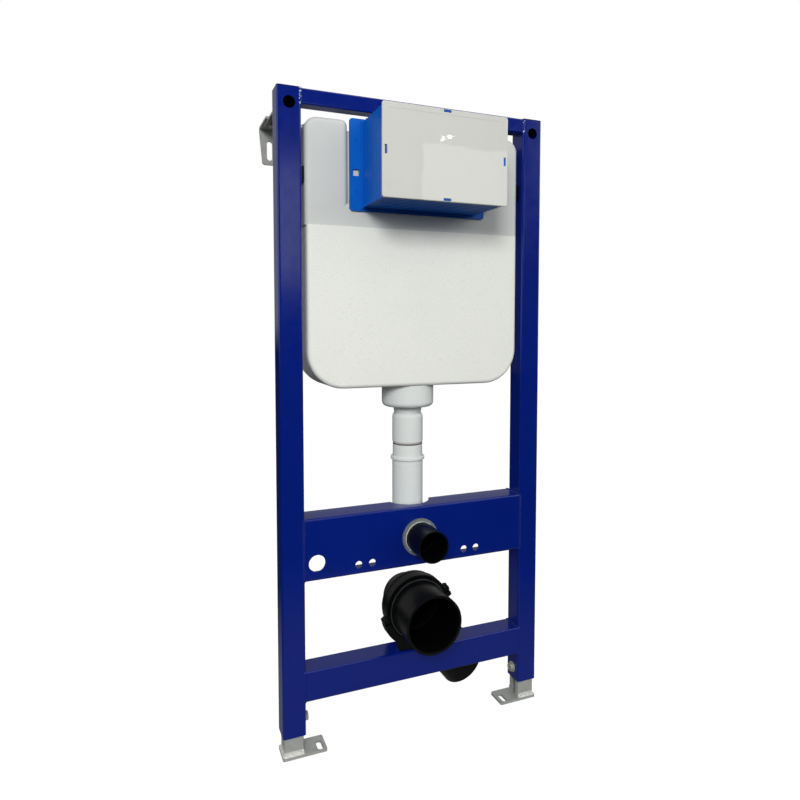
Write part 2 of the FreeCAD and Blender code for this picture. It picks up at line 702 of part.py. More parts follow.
outlet_slot = block(outlet_gap, "cover_depth", "3 * cover_wall", f"-{outlet_gap} / 2", "pipe_depth - cover_front",
                    floor_place)
piece(cut(cover, hollow, outlet_hole, outlet_slot), "insulation_cover", y="cover_front", z=TANK_SEAM)

# clips that hang the cistern between the posts
for side in ("left", "right"):
    clip = new_body(f"{side}_clip_block")
    pad(clip, rectangle(clip, "XY_Plane", "tank_gap", "clip_depth"), "clip_tall")
    piece(clip, f"{side}_tank_clip", signed(side, f"({RAIL_LENGTH} + {TANK_WIDTH}) / 4"),
          "tank_front + clip_front + clip_depth / 2", f"{TANK_TOP} - clip_drop - clip_tall / 2")

# access box: a flanged sleeve with ribs all round and a tab on each side that locks the cover panel
sleeve = new_body("box_sleeve")
pad(sleeve, rectangle(sleeve, "XZ_Plane", "flange_width", "flange_tall"), "flange_sheet", back=True)
round_edges(sleeve, "flange_corner", runs_along(1))
pad(sleeve, rectangle(sleeve, "XZ_Plane", SLEEVE_WIDTH, SLEEVE_TALL), SLEEVE_LENGTH)
pad(sleeve, rectangle(sleeve, "XZ_Plane", f"{SLEEVE_WIDTH} + 2 * root_proud", f"{SLEEVE_TALL} + 2 * root_proud"),
    "root_sheet")
first_rib = pad(sleeve, rectangle(sleeve, "XZ_Plane", f"{SLEEVE_WIDTH} + 2 * rib_proud",
                                  f"{SLEEVE_TALL} + 2 * rib_proud", along="rib_first"), "rib_width")
ribs = sleeve.newObject("PartDesign::LinearPattern", "Ribs")
ribs.Originals = [first_rib]
ribs.Direction = (first_rib.Profile[0], ["N_Axis"])
bind(ribs, Length="rib_pitch * (rib_count - 1)", Occurrences="rib_count")
sleeve.Tip = ribs
doc.recompute()
inside = rectangle(sleeve, "XZ_Plane", f"{SLEEVE_WIDTH} - 2 * sleeve_wall", f"{SLEEVE_TALL} - 2 * sleeve_wall",
                   along=SLEEVE_LENGTH)
pocket(sleeve, inside, f"{SLEEVE_LENGTH} + flange_sheet")

# the four sides of the sleeve, as shares of half its width and height
SIDES = (("1", "0"), ("-1", "0"), ("0", "1"), ("0", "-1"))


def side_block(across, up, spare, depth, y):
    """A block as wide as a tab, with spare room all round, on one side of the sleeve."""
    level = across == "0"
    wide = f"({'tab_width' if level else 'tab_sheet'} + 2 * {spare})"
    tall = f"({'tab_sheet' if level else 'tab_width'} + 2 * {spare})"
    return block(wide, depth, tall, f"{across} * ({SLEEVE_WIDTH} - tab_sheet) / 2 - {wide} / 2", y,
                 f"{up} * ({SLEEVE_TALL} - tab_sheet) / 2 - {tall} / 2")


tab_reach = "(panel_sheet - tab_under)"
tabs = [side_block(across, up, "0", f"{tab_reach} + tab_root", f"-{SLEEVE_LENGTH} - {tab_reach}")
        for across, up in SIDES]
lug_side = "(flange_width - flange_border) / 2"
pips = [rod("Y", "pip_outer", "pip_proud + flange_sheet / 2", f"{across} * {lug_side}", "-pip_proud",
            f"{up} * pip_rise") for across in ("1", "-1") for up in ("1", "-1")]
lug_holes = [block("lug_hole", "3 * flange_sheet", "lug_hole", f"{across} * {lug_side} - lug_hole / 2",
                   "-flange_sheet", "-lug_hole_drop - lug_hole / 2") for across in ("1", "-1")]
piece(cut(fused(sleeve, *tabs, *pips), *lug_holes), "access_box", y=FLANGE_FRONT, z=BOX_HEIGHT)

# cover panel: a plate with a slot for each of the four tabs
panel = new_body("panel_plate")
pad(panel, rectangle(panel, "XZ_Plane", PANEL_WIDTH, PANEL_TALL), "panel_sheet")
round_edges(panel, "panel_corner", runs_along(1))
round_edges(panel, "panel_edge", front_rim(panel))
pocket(panel, rectangle(panel, "XZ_Plane", f"{PANEL_WIDTH} - 2 * panel_rim", f"{PANEL_TALL} - 2 * panel_rim",
                        along="panel_sheet"), "panel_dish")
round_edges(panel, "panel_corner", inmost(panel, runs_along(1)))
slots = [side_block(across, up, "tab_gap", "3 * panel_sheet", "-2 * panel_sheet") for across, up in SIDES]
piece(cut(panel, *slots), "cover_panel", y="-sleeve_front", z=BOX_HEIGHT)

# outlet under the cistern: a spigot through the cover's floor, a collar, and a tail that enters the pipe
tail_foot = "tail_insert + neck_tall"
collar_top = f"{tail_foot} + collar_tall"
outlet_top = f"{collar_top} + {COVER_INSET}"
tail_bore = "tail_outer / 2 - tail_wall"
collar = turned_upright("collar_turned", [
    (tail_bore, "0"), ("tail_outer / 2", "0"), ("tail_outer / 2", "tail_insert"), ("neck_outer / 2", tail_foot),
    ("collar_outer / 2", tail_foot),
    ("collar_outer / 2", collar_top), ("outlet_outer / 2", collar_top), ("outlet_outer / 2", outlet_top),
    (tail_bore, outlet_top)])
round_edges(collar, "collar_edge", lowest_widest_circle(collar))
piece(collar, "outlet_collar", y="pipe_depth", z=f"{PIPE_TOP} - tail_insert")

# upper flush pipe: a sleeve that steps down to the spigot which stands on the lower pipe's bead
sleeve_foot = "pipe_tall - pipe_sleeve_tall"
pipe = turned_upright("pipe_turned", [
    (FLUSH_BORE, "0"), ("pipe_spigot / 2", "0"), ("pipe_spigot / 2", sleeve_foot), ("pipe_outer / 2", sleeve_foot),
    ("pipe_outer / 2", "pipe_tall"), (FLUSH_BORE, "pipe_tall")])
piece(pipe, "flush_pipe", y="pipe_depth", z=JOINT_HEIGHT)

# lower flush pipe: a bead at its upper end, then a bend through the fixing rail
wall, bore = elbow("pipe_outer / 2", FLUSH_BORE, "flush_bend_radius", "bend_rise", "pipe_depth + flush_ring_sheet")
bead = rod("Z", "bead_outer", "bead_tall", "0", "0", "bend_rise - bead_tall")
piece(cut(fused(wall, bead), bore), "flush_bend", y="pipe_depth", z=FLUSH_HEIGHT)

# grey ring round the flush outlet and the open black stub that the pan's seal slides over
ring_bore = "pipe_outer / 2 + fit_gap"
ring = turned_level("ring_turned", [
    ("0", ring_bore), ("0", "flush_ring_outer / 2"), ("flush_ring_sheet", "flush_ring_outer / 2"),
    ("flush_ring_sheet", ring_bore)], "-flush_ring_sheet")
piece(ring, "flush_ring", z=FLUSH_HEIGHT)
insert = f"({FLUSH_BORE} - fit_gap)"
insert_bore = f"{insert} - pipe_wall"
stub_end = "stub_length + stub_insert"
stub_floor = "stub_length - pipe_wall"
stub_bore = "stub_outer / 2 - stub_wall"
stub = turned_level("stub_turned", [
    ("0", stub_bore), ("0", "stub_outer / 2"), ("stub_length", "stub_outer / 2"), ("stub_length", insert),
    (stub_end, insert), (stub_end, insert_bore), (stub_floor, insert_bore), (stub_floor, stub_bore)],
    f"-{STUB_BACK} - stub_length")
piece(stub, "flush_stub", z=FLUSH_HEIGHT)

# waste bend: a socket in the clamp, then a bend turned aside so that its outlet clears the floor
wall, bore = elbow("waste_pipe_outer / 2", WASTE_BORE, "waste_depth - socket_end", WASTE_LEG,
                   "waste_depth - socket_end + fit_gap")
socket_bore = "sleeve_root_outer / 2 + fit_gap"
socket_long = "socket_end - socket_front"
socket_seat = "sleeve_end - socket_front"
bell_start = "bell_front - socket_front"
socket = turned_level("socket_turned", [
    ("0", socket_bore), ("0", "socket_outer / 2"), (bell_start, "socket_outer / 2"), (bell_start, "bell_outer / 2"),
    (socket_long, "bell_outer / 2"), (socket_long, WASTE_BORE), (socket_seat, WASTE_BORE),
    (socket_seat, socket_bore)], "socket_front - waste_depth")
flipped = doc.addObject("Part::Mirroring", "Flip")
flipped.Source = cut(wall, bore)
flipped.Normal = FreeCAD.Vector(0, 0, 1)
waste = turned(fused(flipped, socket), (0, 1, 0), "-waste_turn")
piece(waste, "waste_bend", y="waste_depth", z=WASTE_HEIGHT)

# waste sleeve: an open pipe, a little wider at its mouth
root = "sleeve_root_outer / 2"
sleeve_bore = f"{root} - sleeve_pipe_wall"
sleeve_long = "waste_front + sleeve_end"
waste_sleeve = turned_level("waste_sleeve_turned", [
    ("0", sleeve_bore), ("0", "mouth_outer / 2"), ("mouth_long", "mouth_outer / 2"), ("waste_front", root),
    (sleeve_long, root), (sleeve_long, sleeve_bore)], "-waste_front")
piece(waste_sleeve, "waste_sleeve", z=WASTE_HEIGHT)

# waste clamp: two half bands with ears, the lower one on a saddle that stands on the bottom rail
band_inner = "(socket_outer + 2 * fit_gap)"
band_outer = f"({band_inner} + 2 * band_thickness)"
ear_side = f"({band_outer} / 2 + ear_length)"
screw_side = f"({ear_side} - ear_length / 2)"


def half_band(sign):
    """One half of the clamp's band with its two ears, on the upper or lower side of the split."""
    span = f"(2 * {ear_side})"
    ears = block(span, "band_width", "ear_thickness", f"-{ear_side}", "0",
                 f"{sign} * (ear_thickness + band_split) / 2 - ear_thickness / 2")
    keep = block(span, "band_width", span, f"-{ear_side}", "0",
                 f"{sign} * ({span} + band_split) / 2 - {span} / 2")
    half = fused(common(rod("Y", band_outer, "band_width"), keep), ears)
    screw_holes = [rod("Z", "ear_screw", "4 * ear_thickness", f"{end} * {screw_side}", "band_width / 2",
                       "-2 * ear_thickness") for end in ("1", "-1")]
    return cut(half, *screw_holes)


strap_bore = rod("Y", band_inner, "3 * band_width", "0", "-band_width", "0")
strap = turned(cut(half_band("1"), strap_bore), (0, 1, 0), "-band_turn")
piece(strap, "waste_clamp_strap", y="band_front", z=WASTE_HEIGHT)
lower_half = turned(half_band("-1"), (0, 1, 0), "-band_turn")
saddle_rise = f"({WASTE_HEIGHT} - {BOTTOM_RAIL_TOP})"
saddle = new_body("clamp_saddle")
saddle_inset = f"({band_outer} - saddle_width) / 2"
saddle_end = f"({band_outer} + saddle_width) / 2"
saddle_top = f"({saddle_rise} - saddle_top_drop)"
pad(saddle, polygon(saddle, "XZ_Plane", [
    (saddle_inset, "0"), (saddle_end, "0"), (saddle_end, "saddle_foot_rise"), (band_outer, saddle_top),
    ("0", saddle_top), (saddle_inset, "saddle_foot_rise")], f"-{band_outer} / 2", f"-{saddle_rise}",
    "band_front - saddle_front"), "saddle_depth", back=True)
saddle_bore = rod("Y", band_inner, "3 * saddle_depth", "0", "-saddle_depth", "0")
piece(cut(fused(lower_half, saddle), saddle_bore), "waste_clamp_base", y="band_front", z=WASTE_HEIGHT)

# screws through the clamp's ears
for name, end in (("upper", "1"), ("lower", "-1")):
    grip = "(ear_thickness + band_split / 2)"
    screw = turned(fused(hexagon("Z", "ear_screw_head", "ear_screw_head_height", "0", "0", grip),
                         rod("Z", "ear_screw - 2 * fit_gap", f"2 * {grip}", "0", "0", f"-{grip}")),
                   (0, 1, 0), "-band_turn")
    piece(screw, f"{name}_clamp_screw", f"{end} * {screw_side} * cos(band_turn * 1deg)",
          "band_front + band_width / 2", f"{WASTE_HEIGHT} + {end} * {screw_side} * sin(band_turn * 1deg)")

# every object has to be sound before the pieces are written
doc.recompute()
for thing in doc.Objects:
    if "Invalid" in thing.State or "Error" in thing.State:
        raise RuntimeError(f"{thing.Name} ({thing.Label}) failed: {thing.State}")
os.makedirs("parts", exist_ok=True)
for thing in pieces:
    if thing.Shape.isNull() or not thing.Shape.isValid() or not thing.Shape.Solids:
        raise RuntimeError(f"{thing.Label} has no sound shape")
    thing.Shape.exportStep(f"parts/{thing.Label}.step")
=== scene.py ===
import json
import math

import bpy
import numpy as np
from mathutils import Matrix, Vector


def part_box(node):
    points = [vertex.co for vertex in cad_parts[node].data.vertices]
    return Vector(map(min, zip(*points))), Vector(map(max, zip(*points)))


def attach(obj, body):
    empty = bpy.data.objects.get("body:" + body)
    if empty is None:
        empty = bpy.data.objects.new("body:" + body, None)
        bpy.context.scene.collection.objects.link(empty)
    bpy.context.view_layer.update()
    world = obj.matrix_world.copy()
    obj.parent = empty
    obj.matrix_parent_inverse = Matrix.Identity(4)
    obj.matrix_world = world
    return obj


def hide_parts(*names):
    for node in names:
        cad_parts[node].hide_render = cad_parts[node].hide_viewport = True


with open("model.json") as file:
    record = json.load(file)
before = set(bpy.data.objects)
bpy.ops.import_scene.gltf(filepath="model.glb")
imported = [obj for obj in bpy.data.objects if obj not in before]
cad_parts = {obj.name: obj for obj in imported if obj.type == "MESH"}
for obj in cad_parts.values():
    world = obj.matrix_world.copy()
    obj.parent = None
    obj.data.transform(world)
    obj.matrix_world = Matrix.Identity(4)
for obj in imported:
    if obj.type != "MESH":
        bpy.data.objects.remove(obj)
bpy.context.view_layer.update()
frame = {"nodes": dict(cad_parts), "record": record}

# Wall hung toilet frame. Places are written in millimetres from the middle of the frame, the front of
# its posts and the floor, and turned into the shared frame here.
MM = 0.001
SHARP = math.radians(35)
left_corner, right_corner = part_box("left_post")[0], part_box("right_post")[1]
ORIGIN = np.array([(left_corner.x + right_corner.x) / 2, left_corner.y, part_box("left_foot_plate")[0].z])


def shared(points):
    """Places in millimetres from middle, front and floor, as places in the shared frame in metres."""
    return ORIGIN + np.asarray(points, float) * MM


def span(node):
    """A node's lowest and highest corner, in millimetres from middle, front and floor."""
    return [(np.array(corner) - ORIGIN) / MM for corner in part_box(node)]


def linear(code):
    """An sRGB hex colour as linear red, green, blue and alpha."""
    shares = np.array([int(code[start:start + 2], 16) for start in (1, 3, 5)]) / 255.0
    bent = np.where(shares <= 0.04045, shares / 12.92, ((shares + 0.055) / 1.055) ** 2.4)
    return (*bent.tolist(), 1.0)


def add(tree, kind, inputs=None, **settings):
    """Adds one node, sets its properties, and gives each named input a value or a link."""
    node = tree.nodes.new("ShaderNode" + kind)
    for name, value in settings.items():
        setattr(node, name, value)
    for name, value in (inputs or {}).items():
        if isinstance(value, bpy.types.NodeSocket):
            tree.links.new(value, node.inputs[name])
        else:
            node.inputs[name].default_value = value
    return node


def per_mm(size):
    """The scale of a pattern whose cells are this many millimetres wide."""
    return 1.0 / (size * MM)


def new_material(name):
    """An empty material with the piece's own coordinates in metres."""
    made = bpy.data.materials.new(name)
    made.use_nodes = True
    made.node_tree.nodes.clear()
    return made, made.node_tree, add(made.node_tree, "TexCoord").outputs["Object"]


def close_material(tree, **inputs):
    """Ends a material with its surface shader; words in the names are joined by underscores."""
    named = {name.replace("_", " "): value for name, value in inputs.items()}
    shader = add(tree, "BsdfPrincipled", named)
    add(tree, "OutputMaterial", {"Surface": shader.outputs["BSDF"]})


finishes = {}


def powder_coat(name, bare):
    """Blue powder coat, with as large a share of it chipped down to the pale primer as bare says."""
    made, tree, place = new_material(name)
    drift = add(tree, "TexNoise", {"Vector": place, "Scale": per_mm(90), "Detail": 2.0})
    dust = add(tree, "TexNoise", {"Vector": place, "Scale": per_mm(14), "Detail": 4.0})
    peel = add(tree, "TexNoise", {"Vector": place, "Scale": per_mm(3), "Detail": 1.0})
    chips = add(tree, "TexNoise", {"Vector": place, "Scale": per_mm(4), "Detail": 3.0, "Roughness": 0.7})
    tint = add(tree, "Mix", {"Factor": drift.outputs["Fac"], 6: linear("#02186F"), 7: linear("#041F7A")},
               data_type="RGBA")
    worn = add(tree, "MapRange", {"Value": chips.outputs["Fac"], "From Min": 0.8 - bare,
                                  "From Max": 0.83 - bare})
    coat = add(tree, "Mix", {"Factor": worn.outputs["Result"], 6: tint.outputs[2], 7: linear("#C9D0DC")},
               data_type="RGBA")
    gloss = add(tree, "MapRange", {"Value": dust.outputs["Fac"], "From Min": 0.3, "From Max": 0.7,
                                   "To Min": 0.12, "To Max": 0.19})
    bump = add(tree, "Bump", {"Height": peel.outputs["Fac"], "Strength": 0.1, "Distance": 0.0004})
    close_material(tree, Base_Color=coat.outputs[2], Roughness=gloss.outputs["Result"], IOR=1.5,
                   Normal=bump.outputs["Normal"])
    return made


# Polyester powder coat on steel tube, sprayed and baked: a deep blue with an orange peel of about 3 mm,
# slow drifts in depth of colour and a gloss that dust dulls here and there. On the top rail's seams it has
# chipped off the weld in small specks.
finishes["blue_enamel"] = powder_coat("blue_powder_coat", 0.0)
chipped_coat = powder_coat("blue_powder_coat_chipped", 0.26)

# Hot dip galvanised steel sheet: zinc crystals about 7 mm wide, each with its own grey and gloss, under a
# dull grey patina.
made, tree, place = new_material("galvanised_steel")
crystals = add(tree, "TexVoronoi", {"Vector": place, "Scale": per_mm(7), "Randomness": 1.0})
patina = add(tree, "TexNoise", {"Vector": place, "Scale": per_mm(11), "Detail": 6.0, "Roughness": 0.65})
grey = add(tree, "SeparateColor", {"Color": crystals.outputs["Color"]})
shade = add(tree, "Mix", {"Factor": grey.outputs["Red"], 6: linear("#B4B7B2"), 7: linear("#C4C7C2")},
            data_type="RGBA")
aged = add(tree, "Mix", {"Factor": patina.outputs["Fac"], 6: linear("#A0A39E"), 7: shade.outputs[2]},
           data_type="RGBA")
gloss = add(tree, "MapRange", {"Value": grey.outputs["Green"], "To Min": 0.3, "To Max": 0.44})
bump = add(tree, "Bump", {"Height": patina.outputs["Fac"], "Strength": 0.4, "Distance": 0.0005})
close_material(tree, Base_Color=aged.outputs[2], Metallic=0.25, Roughness=gloss.outputs["Result"],
               Normal=bump.outputs["Normal"])
finishes["galvanised_steel"] = made

# Zinc plated bolts: cold headed steel, bright with fine forming marks about 1 mm wide.
made, tree, place = new_material("zinc_plated_steel")
marks = add(tree, "TexNoise", {"Vector": place, "Scale": per_mm(1), "Detail": 3.0})
shade = add(tree, "Mix", {"Factor": marks.outputs["Fac"], 6: linear("#A4A49C"), 7: linear("#CFCEC6")},
            data_type="RGBA")
gloss = add(tree, "MapRange", {"Value": marks.outputs["Fac"], "To Min": 0.18, "To Max": 0.36})
close_material(tree, Base_Color=shade.outputs[2], Metallic=0.4, Roughness=gloss.outputs["Result"])
finishes["zinc_fasteners"] = made

# Zinc rich paint over the welds of the feet: pale and lumpy over about 3 mm, with bright flecks that are
# painted glints.
made, tree, place = new_material("zinc_sprayed_weld")
lumps = add(tree, "TexNoise", {"Vector": place, "Scale": per_mm(3), "Detail": 4.0, "Roughness": 0.7})
painted_glints = add(tree, "MapRange", {"Value": lumps.outputs["Fac"], "From Min": 0.35, "From Max": 0.65})
shade = add(tree, "Mix", {"Factor": painted_glints.outputs["Result"], 6: linear("#B9BBB5"), 7: linear("#F2F2EC")},
            data_type="RGBA")
bump = add(tree, "Bump", {"Height": lumps.outputs["Fac"], "Strength": 0.4, "Distance": 0.0006})
close_material(tree, Base_Color=shade.outputs[2], Metallic=0.1, Roughness=0.35, Normal=bump.outputs["Normal"])
sprayed_weld_painted_glints = made

# Zinc plated steel, passivated black: the waste clamp's small screws, nearly as dark as the plastic.
made, tree, place = new_material("black_passivated_steel")
marks = add(tree, "TexNoise", {"Vector": place, "Scale": per_mm(1.5), "Detail": 3.0})
shade = add(tree, "Mix", {"Factor": marks.outputs["Fac"], 6: linear("#1A1B1C"), 7: linear("#303234")},
            data_type="RGBA")
gloss = add(tree, "MapRange", {"Value": marks.outputs["Fac"], "To Min": 0.3, "To Max": 0.5})
close_material(tree, Base_Color=shade.outputs[2], Metallic=0.7, Roughness=gloss.outputs["Result"])
black_steel = made

# Blow moulded polyethylene: a waxy pale grey that wavers where the wall cooled unevenly, over about 60 mm,
# with a fine sand blasted mould grain.
made, tree, place = new_material("grey_polyethylene")
wave = add(tree, "TexNoise", {"Vector": place, "Scale": per_mm(60), "Detail": 1.5})
grain = add(tree, "TexNoise", {"Vector": place, "Scale": per_mm(1.6), "Detail": 3.0})
tint = add(tree, "Mix", {"Factor": wave.outputs["Fac"], 6: linear("#C8CBC7"), 7: linear("#D0D3CE")},
           data_type="RGBA")
soft = add(tree, "Bump", {"Height": wave.outputs["Fac"], "Strength": 0.3, "Distance": 0.004})
bump = add(tree, "Bump", {"Height": grain.outputs["Fac"], "Strength": 0.1, "Distance": 0.0004,
                          "Normal": soft.outputs["Normal"]})
close_material(tree, Base_Color=tint.outputs[2], Roughness=0.42, IOR=1.51, Normal=bump.outputs["Normal"])
finishes["grey_polyethylene"] = made

# Moulded expanded polystyrene: beads about 5 mm wide pressed flat against the mould, so that only faint
# seams and a slight cloudiness show, with a chalky surface.
made, tree, place = new_material("bead_foam")
beads = add(tree, "TexVoronoi", {"Vector": place, "Scale": per_mm(5), "Randomness": 0.9},
            feature="DISTANCE_TO_EDGE")
cloud = add(tree, "TexNoise", {"Vector": place, "Scale": per_mm(70), "Detail": 4.0})
seam = add(tree, "MapRange", {"Value": beads.outputs["Distance"], "From Max": 0.1})
white = add(tree, "Mix", {"Factor": cloud.outputs["Fac"], 6: linear("#E6E8E1"), 7: linear("#EEEFE8")},
            data_type="RGBA")
dint = add(tree, "Mix", {"Factor": seam.outputs["Result"], 6: linear("#E1E4DD"), 7: white.outputs[2]},
           data_type="RGBA")
bump = add(tree, "Bump", {"Height": seam.outputs["Result"], "Strength": 0.1, "Distance": 0.0003})
close_material(tree, Base_Color=dint.outputs[2], Roughness=0.7, IOR=1.5, Normal=bump.outputs["Normal"])
finishes["foam_beads"] = made

# Injection moulded polypropylene: a strong blue, half gloss, with faint flow lines across the ribs.
made, tree, place = new_material("blue_polypropylene")
flow = add(tree, "TexNoise", {"Vector": place, "Scale": per_mm(26), "Detail": 3.0, "Distortion": 0.6})
grain = add(tree, "TexNoise", {"Vector": place, "Scale": per_mm(0.9), "Detail": 2.0})
tint = add(tree, "Mix", {"Factor": flow.outputs["Fac"], 6: linear("#0A58B8"), 7: linear("#0E62C2")},
           data_type="RGBA")
bump = add(tree, "Bump", {"Height": grain.outputs["Fac"], "Strength": 0.08, "Distance": 0.0003})
close_material(tree, Base_Color=tint.outputs[2], Roughness=0.3, IOR=1.49, Specular_IOR_Level=0.14,
               Normal=bump.outputs["Normal"])
finishes["blue_polypropylene"] = made

# Polished acrylonitrile butadiene styrene sheet: a warm white with a mirror gloss and very slight waves
# about 40 mm long.
made, tree, place = new_material("white_polished_styrene")
wave = add(tree, "TexNoise", {"Vector": place, "Scale": per_mm(40), "Detail": 1.0})
tint = add(tree, "Mix", {"Factor": wave.outputs["Fac"], 6: linear("#CDCEC8"), 7: linear("#D2D3CD")},
           data_type="RGBA")
bump = add(tree, "Bump", {"Height": wave.outputs["Fac"], "Strength": 0.06, "Distance": 0.002})
close_material(tree, Base_Color=tint.outputs[2], Roughness=0.02, IOR=1.53, Normal=bump.outputs["Normal"])
finishes["white_panel"] = made

# Extruded polypropylene pipe: cool white, satin, with drawing lines along its length.
made, tree, place = new_material("white_pipe_polypropylene")
along = add(tree, "Mapping", {"Vector": place, "Scale": (1.0, 1.0, 0.04)})
lines = add(tree, "TexNoise", {"Vector": along.outputs["Vector"], "Scale": per_mm(2.5), "Detail": 2.0})
tint = add(tree, "Mix", {"Factor": lines.outputs["Fac"], 6: linear("#D9DEDB"), 7: linear("#E1E5E2")},
           data_type="RGBA")
bump = add(tree, "Bump", {"Height": lines.outputs["Fac"], "Strength": 0.08, "Distance": 0.0004})
close_material(tree, Base_Color=tint.outputs[2], Roughness=0.4, IOR=1.49, Normal=bump.outputs["Normal"])
finishes["white_pipe"] = made

# Grey rubber ring: matt, with the mottle of filler a few millimetres wide.
made, tree, place = new_material("grey_rubber")
mottle = add(tree, "TexNoise", {"Vector": place, "Scale": per_mm(4), "Detail": 4.0})
tint = add(tree, "Mix", {"Factor": mottle.outputs["Fac"], 6: linear("#646B6B"), 7: linear("#7C8382")},
           data_type="RGBA")
bump = add(tree, "Bump", {"Height": mottle.outputs["Fac"], "Strength": 0.15, "Distance": 0.0004})
close_material(tree, Base_Color=tint.outputs[2], Roughness=0.6, IOR=1.52, Normal=bump.outputs["Normal"])
finishes["grey_ring"] = made

# Brown nitrile rubber: the seal that shows in the joint of the flush pipe, matt with a fine grain.
made, tree, place = new_material("brown_seal_rubber")
mottle = add(tree, "TexNoise", {"Vector": place, "Scale": per_mm(2), "Detail": 3.0})
tint = add(tree, "Mix", {"Factor": mottle.outputs["Fac"], 6: linear("#5E564F"), 7: linear("#766D65")},
           data_type="RGBA")
close_material(tree, Base_Color=tint.outputs[2], Roughness=0.7, IOR=1.52)
brown_rubber = made

# Black high density polyethylene, injection moulded: carbon black with a waxy sheen that varies over
# about 20 mm and a fine mould grain.
made, tree, place = new_material("black_polyethylene")
wax = add(tree, "TexNoise", {"Vector": place, "Scale": per_mm(20), "Detail": 3.0})
grain = add(tree, "TexNoise", {"Vector": place, "Scale": per_mm(1.1), "Detail": 2.0})
tint = add(tree, "Mix", {"Factor": wax.outputs["Fac"], 6: linear("#050606"), 7: linear("#0B0C0D")},
           data_type="RGBA")
gloss = add(tree, "MapRange", {"Value": wax.outputs["Fac"], "To Min": 0.24, "To Max": 0.36})
bump = add(tree, "Bump", {"Height": grain.outputs["Fac"], "Strength": 0.1, "Distance": 0.0003})
close_material(tree, Base_Color=tint.outputs[2], Roughness=gloss.outputs["Result"], IOR=1.5,
               Specular_IOR_Level=0.26, Normal=bump.outputs["Normal"])
finishes["black_polyethylene"] = made

# Black glass filled nylon of the waste clamp, moulded: duller and deeper than the pipes, grained over a few
# millimetres.
made, tree, place = new_material("black_nylon")
grain = add(tree, "TexNoise", {"Vector": place, "Scale": per_mm(2.5), "Detail": 3.0})
tint = add(tree, "Mix", {"Factor": grain.outputs["Fac"], 6: linear("#020303"), 7: linear("#070808")},
           data_type="RGBA")
bump = add(tree, "Bump", {"Height": grain.outputs["Fac"], "Strength": 0.2, "Distance": 0.0004})
close_material(tree, Base_Color=tint.outputs[2], Roughness=0.32, IOR=1.53, Specular_IOR_Level=0.22,
               Normal=bump.outputs["Normal"])
black_nylon = made

# Greased sealing lip of the waste socket: rubber with a wet gloss that varies over about 8 mm; its dark grey,
# lighter than the black plastic round it, is a painted highlight along the ring.
made, tree, place = new_material("greased_lip_painted_highlight")
film = add(tree, "TexNoise", {"Vector": place, "Scale": per_mm(8), "Detail": 2.0})
tint = add(tree, "Mix", {"Factor": film.outputs["Fac"], 6: linear("#1C2224"), 7: linear("#2A3032")},
           data_type="RGBA")
gloss = add(tree, "MapRange", {"Value": film.outputs["Fac"], "To Min": 0.1, "To Max": 0.22})
close_material(tree, Base_Color=tint.outputs[2], Roughness=gloss.outputs["Result"], IOR=1.5)
greased_lip_painted_highlight = made

# Painted shade for the insides of the two mouths: near black and quite matt, mottled over a few millimetres,
# so that they show no light.
made, tree, place = new_material("black_mouth_painted_shade")
dust = add(tree, "TexNoise", {"Vector": place, "Scale": per_mm(3), "Detail": 3.0})
tint = add(tree, "Mix", {"Factor": dust.outputs["Fac"], 6: linear("#020202"), 7: linear("#040505")},
           data_type="RGBA")
close_material(tree, Base_Color=tint.outputs[2], Roughness=0.95, IOR=1.5, Specular_IOR_Level=0.05)
mouth_painted_shade = made

for part in frame["record"]["subparts"]:
    finish = black_steel if part["node"].endswith("_clamp_screw") else finishes[part["material_slot"]]
    mesh = frame["nodes"][part["node"]].data
    mesh.materials.clear()
    mesh.materials.append(finish)


def grid_faces(rows, columns, round_rows):
    """Four-cornered faces between neighbours of a grid whose columns close round, and its rows if asked: the
    place in row r and column c is number r times the columns plus c."""
    row = np.arange(rows if round_rows else rows - 1)[:, None]
    column = np.arange(columns)[None, :]
    next_row = (row + 1) % rows
    next_column = (column + 1) % columns
    corners = np.stack(np.broadcast_arrays(row * columns + column, row * columns + next_column,
                                           next_row * columns + next_column, next_row * columns + column), -1)
    return corners.reshape(-1, 4)


def new_piece(name, grids, body, slot, finish=None, stands_for=None):
    """One mesh of several grids of places in millimetres; an open end of a closed profile gets a flat cap."""
    vertices, faces, start = [], [], 0
    for points, round_rows in grids:
        rows, columns = points.shape[:2]
        vertices.append(points.reshape(-1, 3))
        faces += (grid_faces(rows, columns, round_rows) + start).tolist()
        if not round_rows:
            faces.append((np.arange(columns)[::-1] + start).tolist())
            faces.append((np.arange(columns) + start + (rows - 1) * columns).tolist())
        start += rows * columns
    mesh = bpy.data.meshes.new(name)
    mesh.from_pydata(shared(np.concatenate(vertices)).tolist(), [], faces)
    mesh.shade_smooth()
    mesh.set_sharp_from_angle(angle=SHARP)
    mesh.materials.append(finish or finishes[slot])
    made = bpy.data.objects.new(name, mesh)
    bpy.context.scene.collection.objects.link(made)
    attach(made, body)
    if stands_for:
        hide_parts(stands_for)
    return made


def rounded(corners, cuts, closed=True, steps=7):
    """A line through corners, each worn to a parabola that leaves the line this far before and after it: at
    share t the start, the corner and the end weigh (1 - t)^2, 2 t (1 - t) and t^2. An open line keeps its
    ends."""
    corners = np.asarray(corners, float)
    cuts = np.broadcast_to(np.asarray(cuts, float), len(corners))[:, None]
    before = np.roll(corners, 1, 0) - corners
    after = np.roll(corners, -1, 0) - corners
    start = corners + before / np.linalg.norm(before, axis=1, keepdims=True) * cuts
    end = corners + after / np.linalg.norm(after, axis=1, keepdims=True) * cuts
    share = np.linspace(0.0, 1.0, steps)[:, None]
    curve = (start[:, None] * (1 - share) ** 2 + corners[:, None] * 2 * share * (1 - share)
             + end[:, None] * share ** 2)
    if closed:
        return curve.reshape(-1, 2)
    return np.concatenate([corners[:1], curve[1:-1].reshape(-1, 2), corners[-1:]])


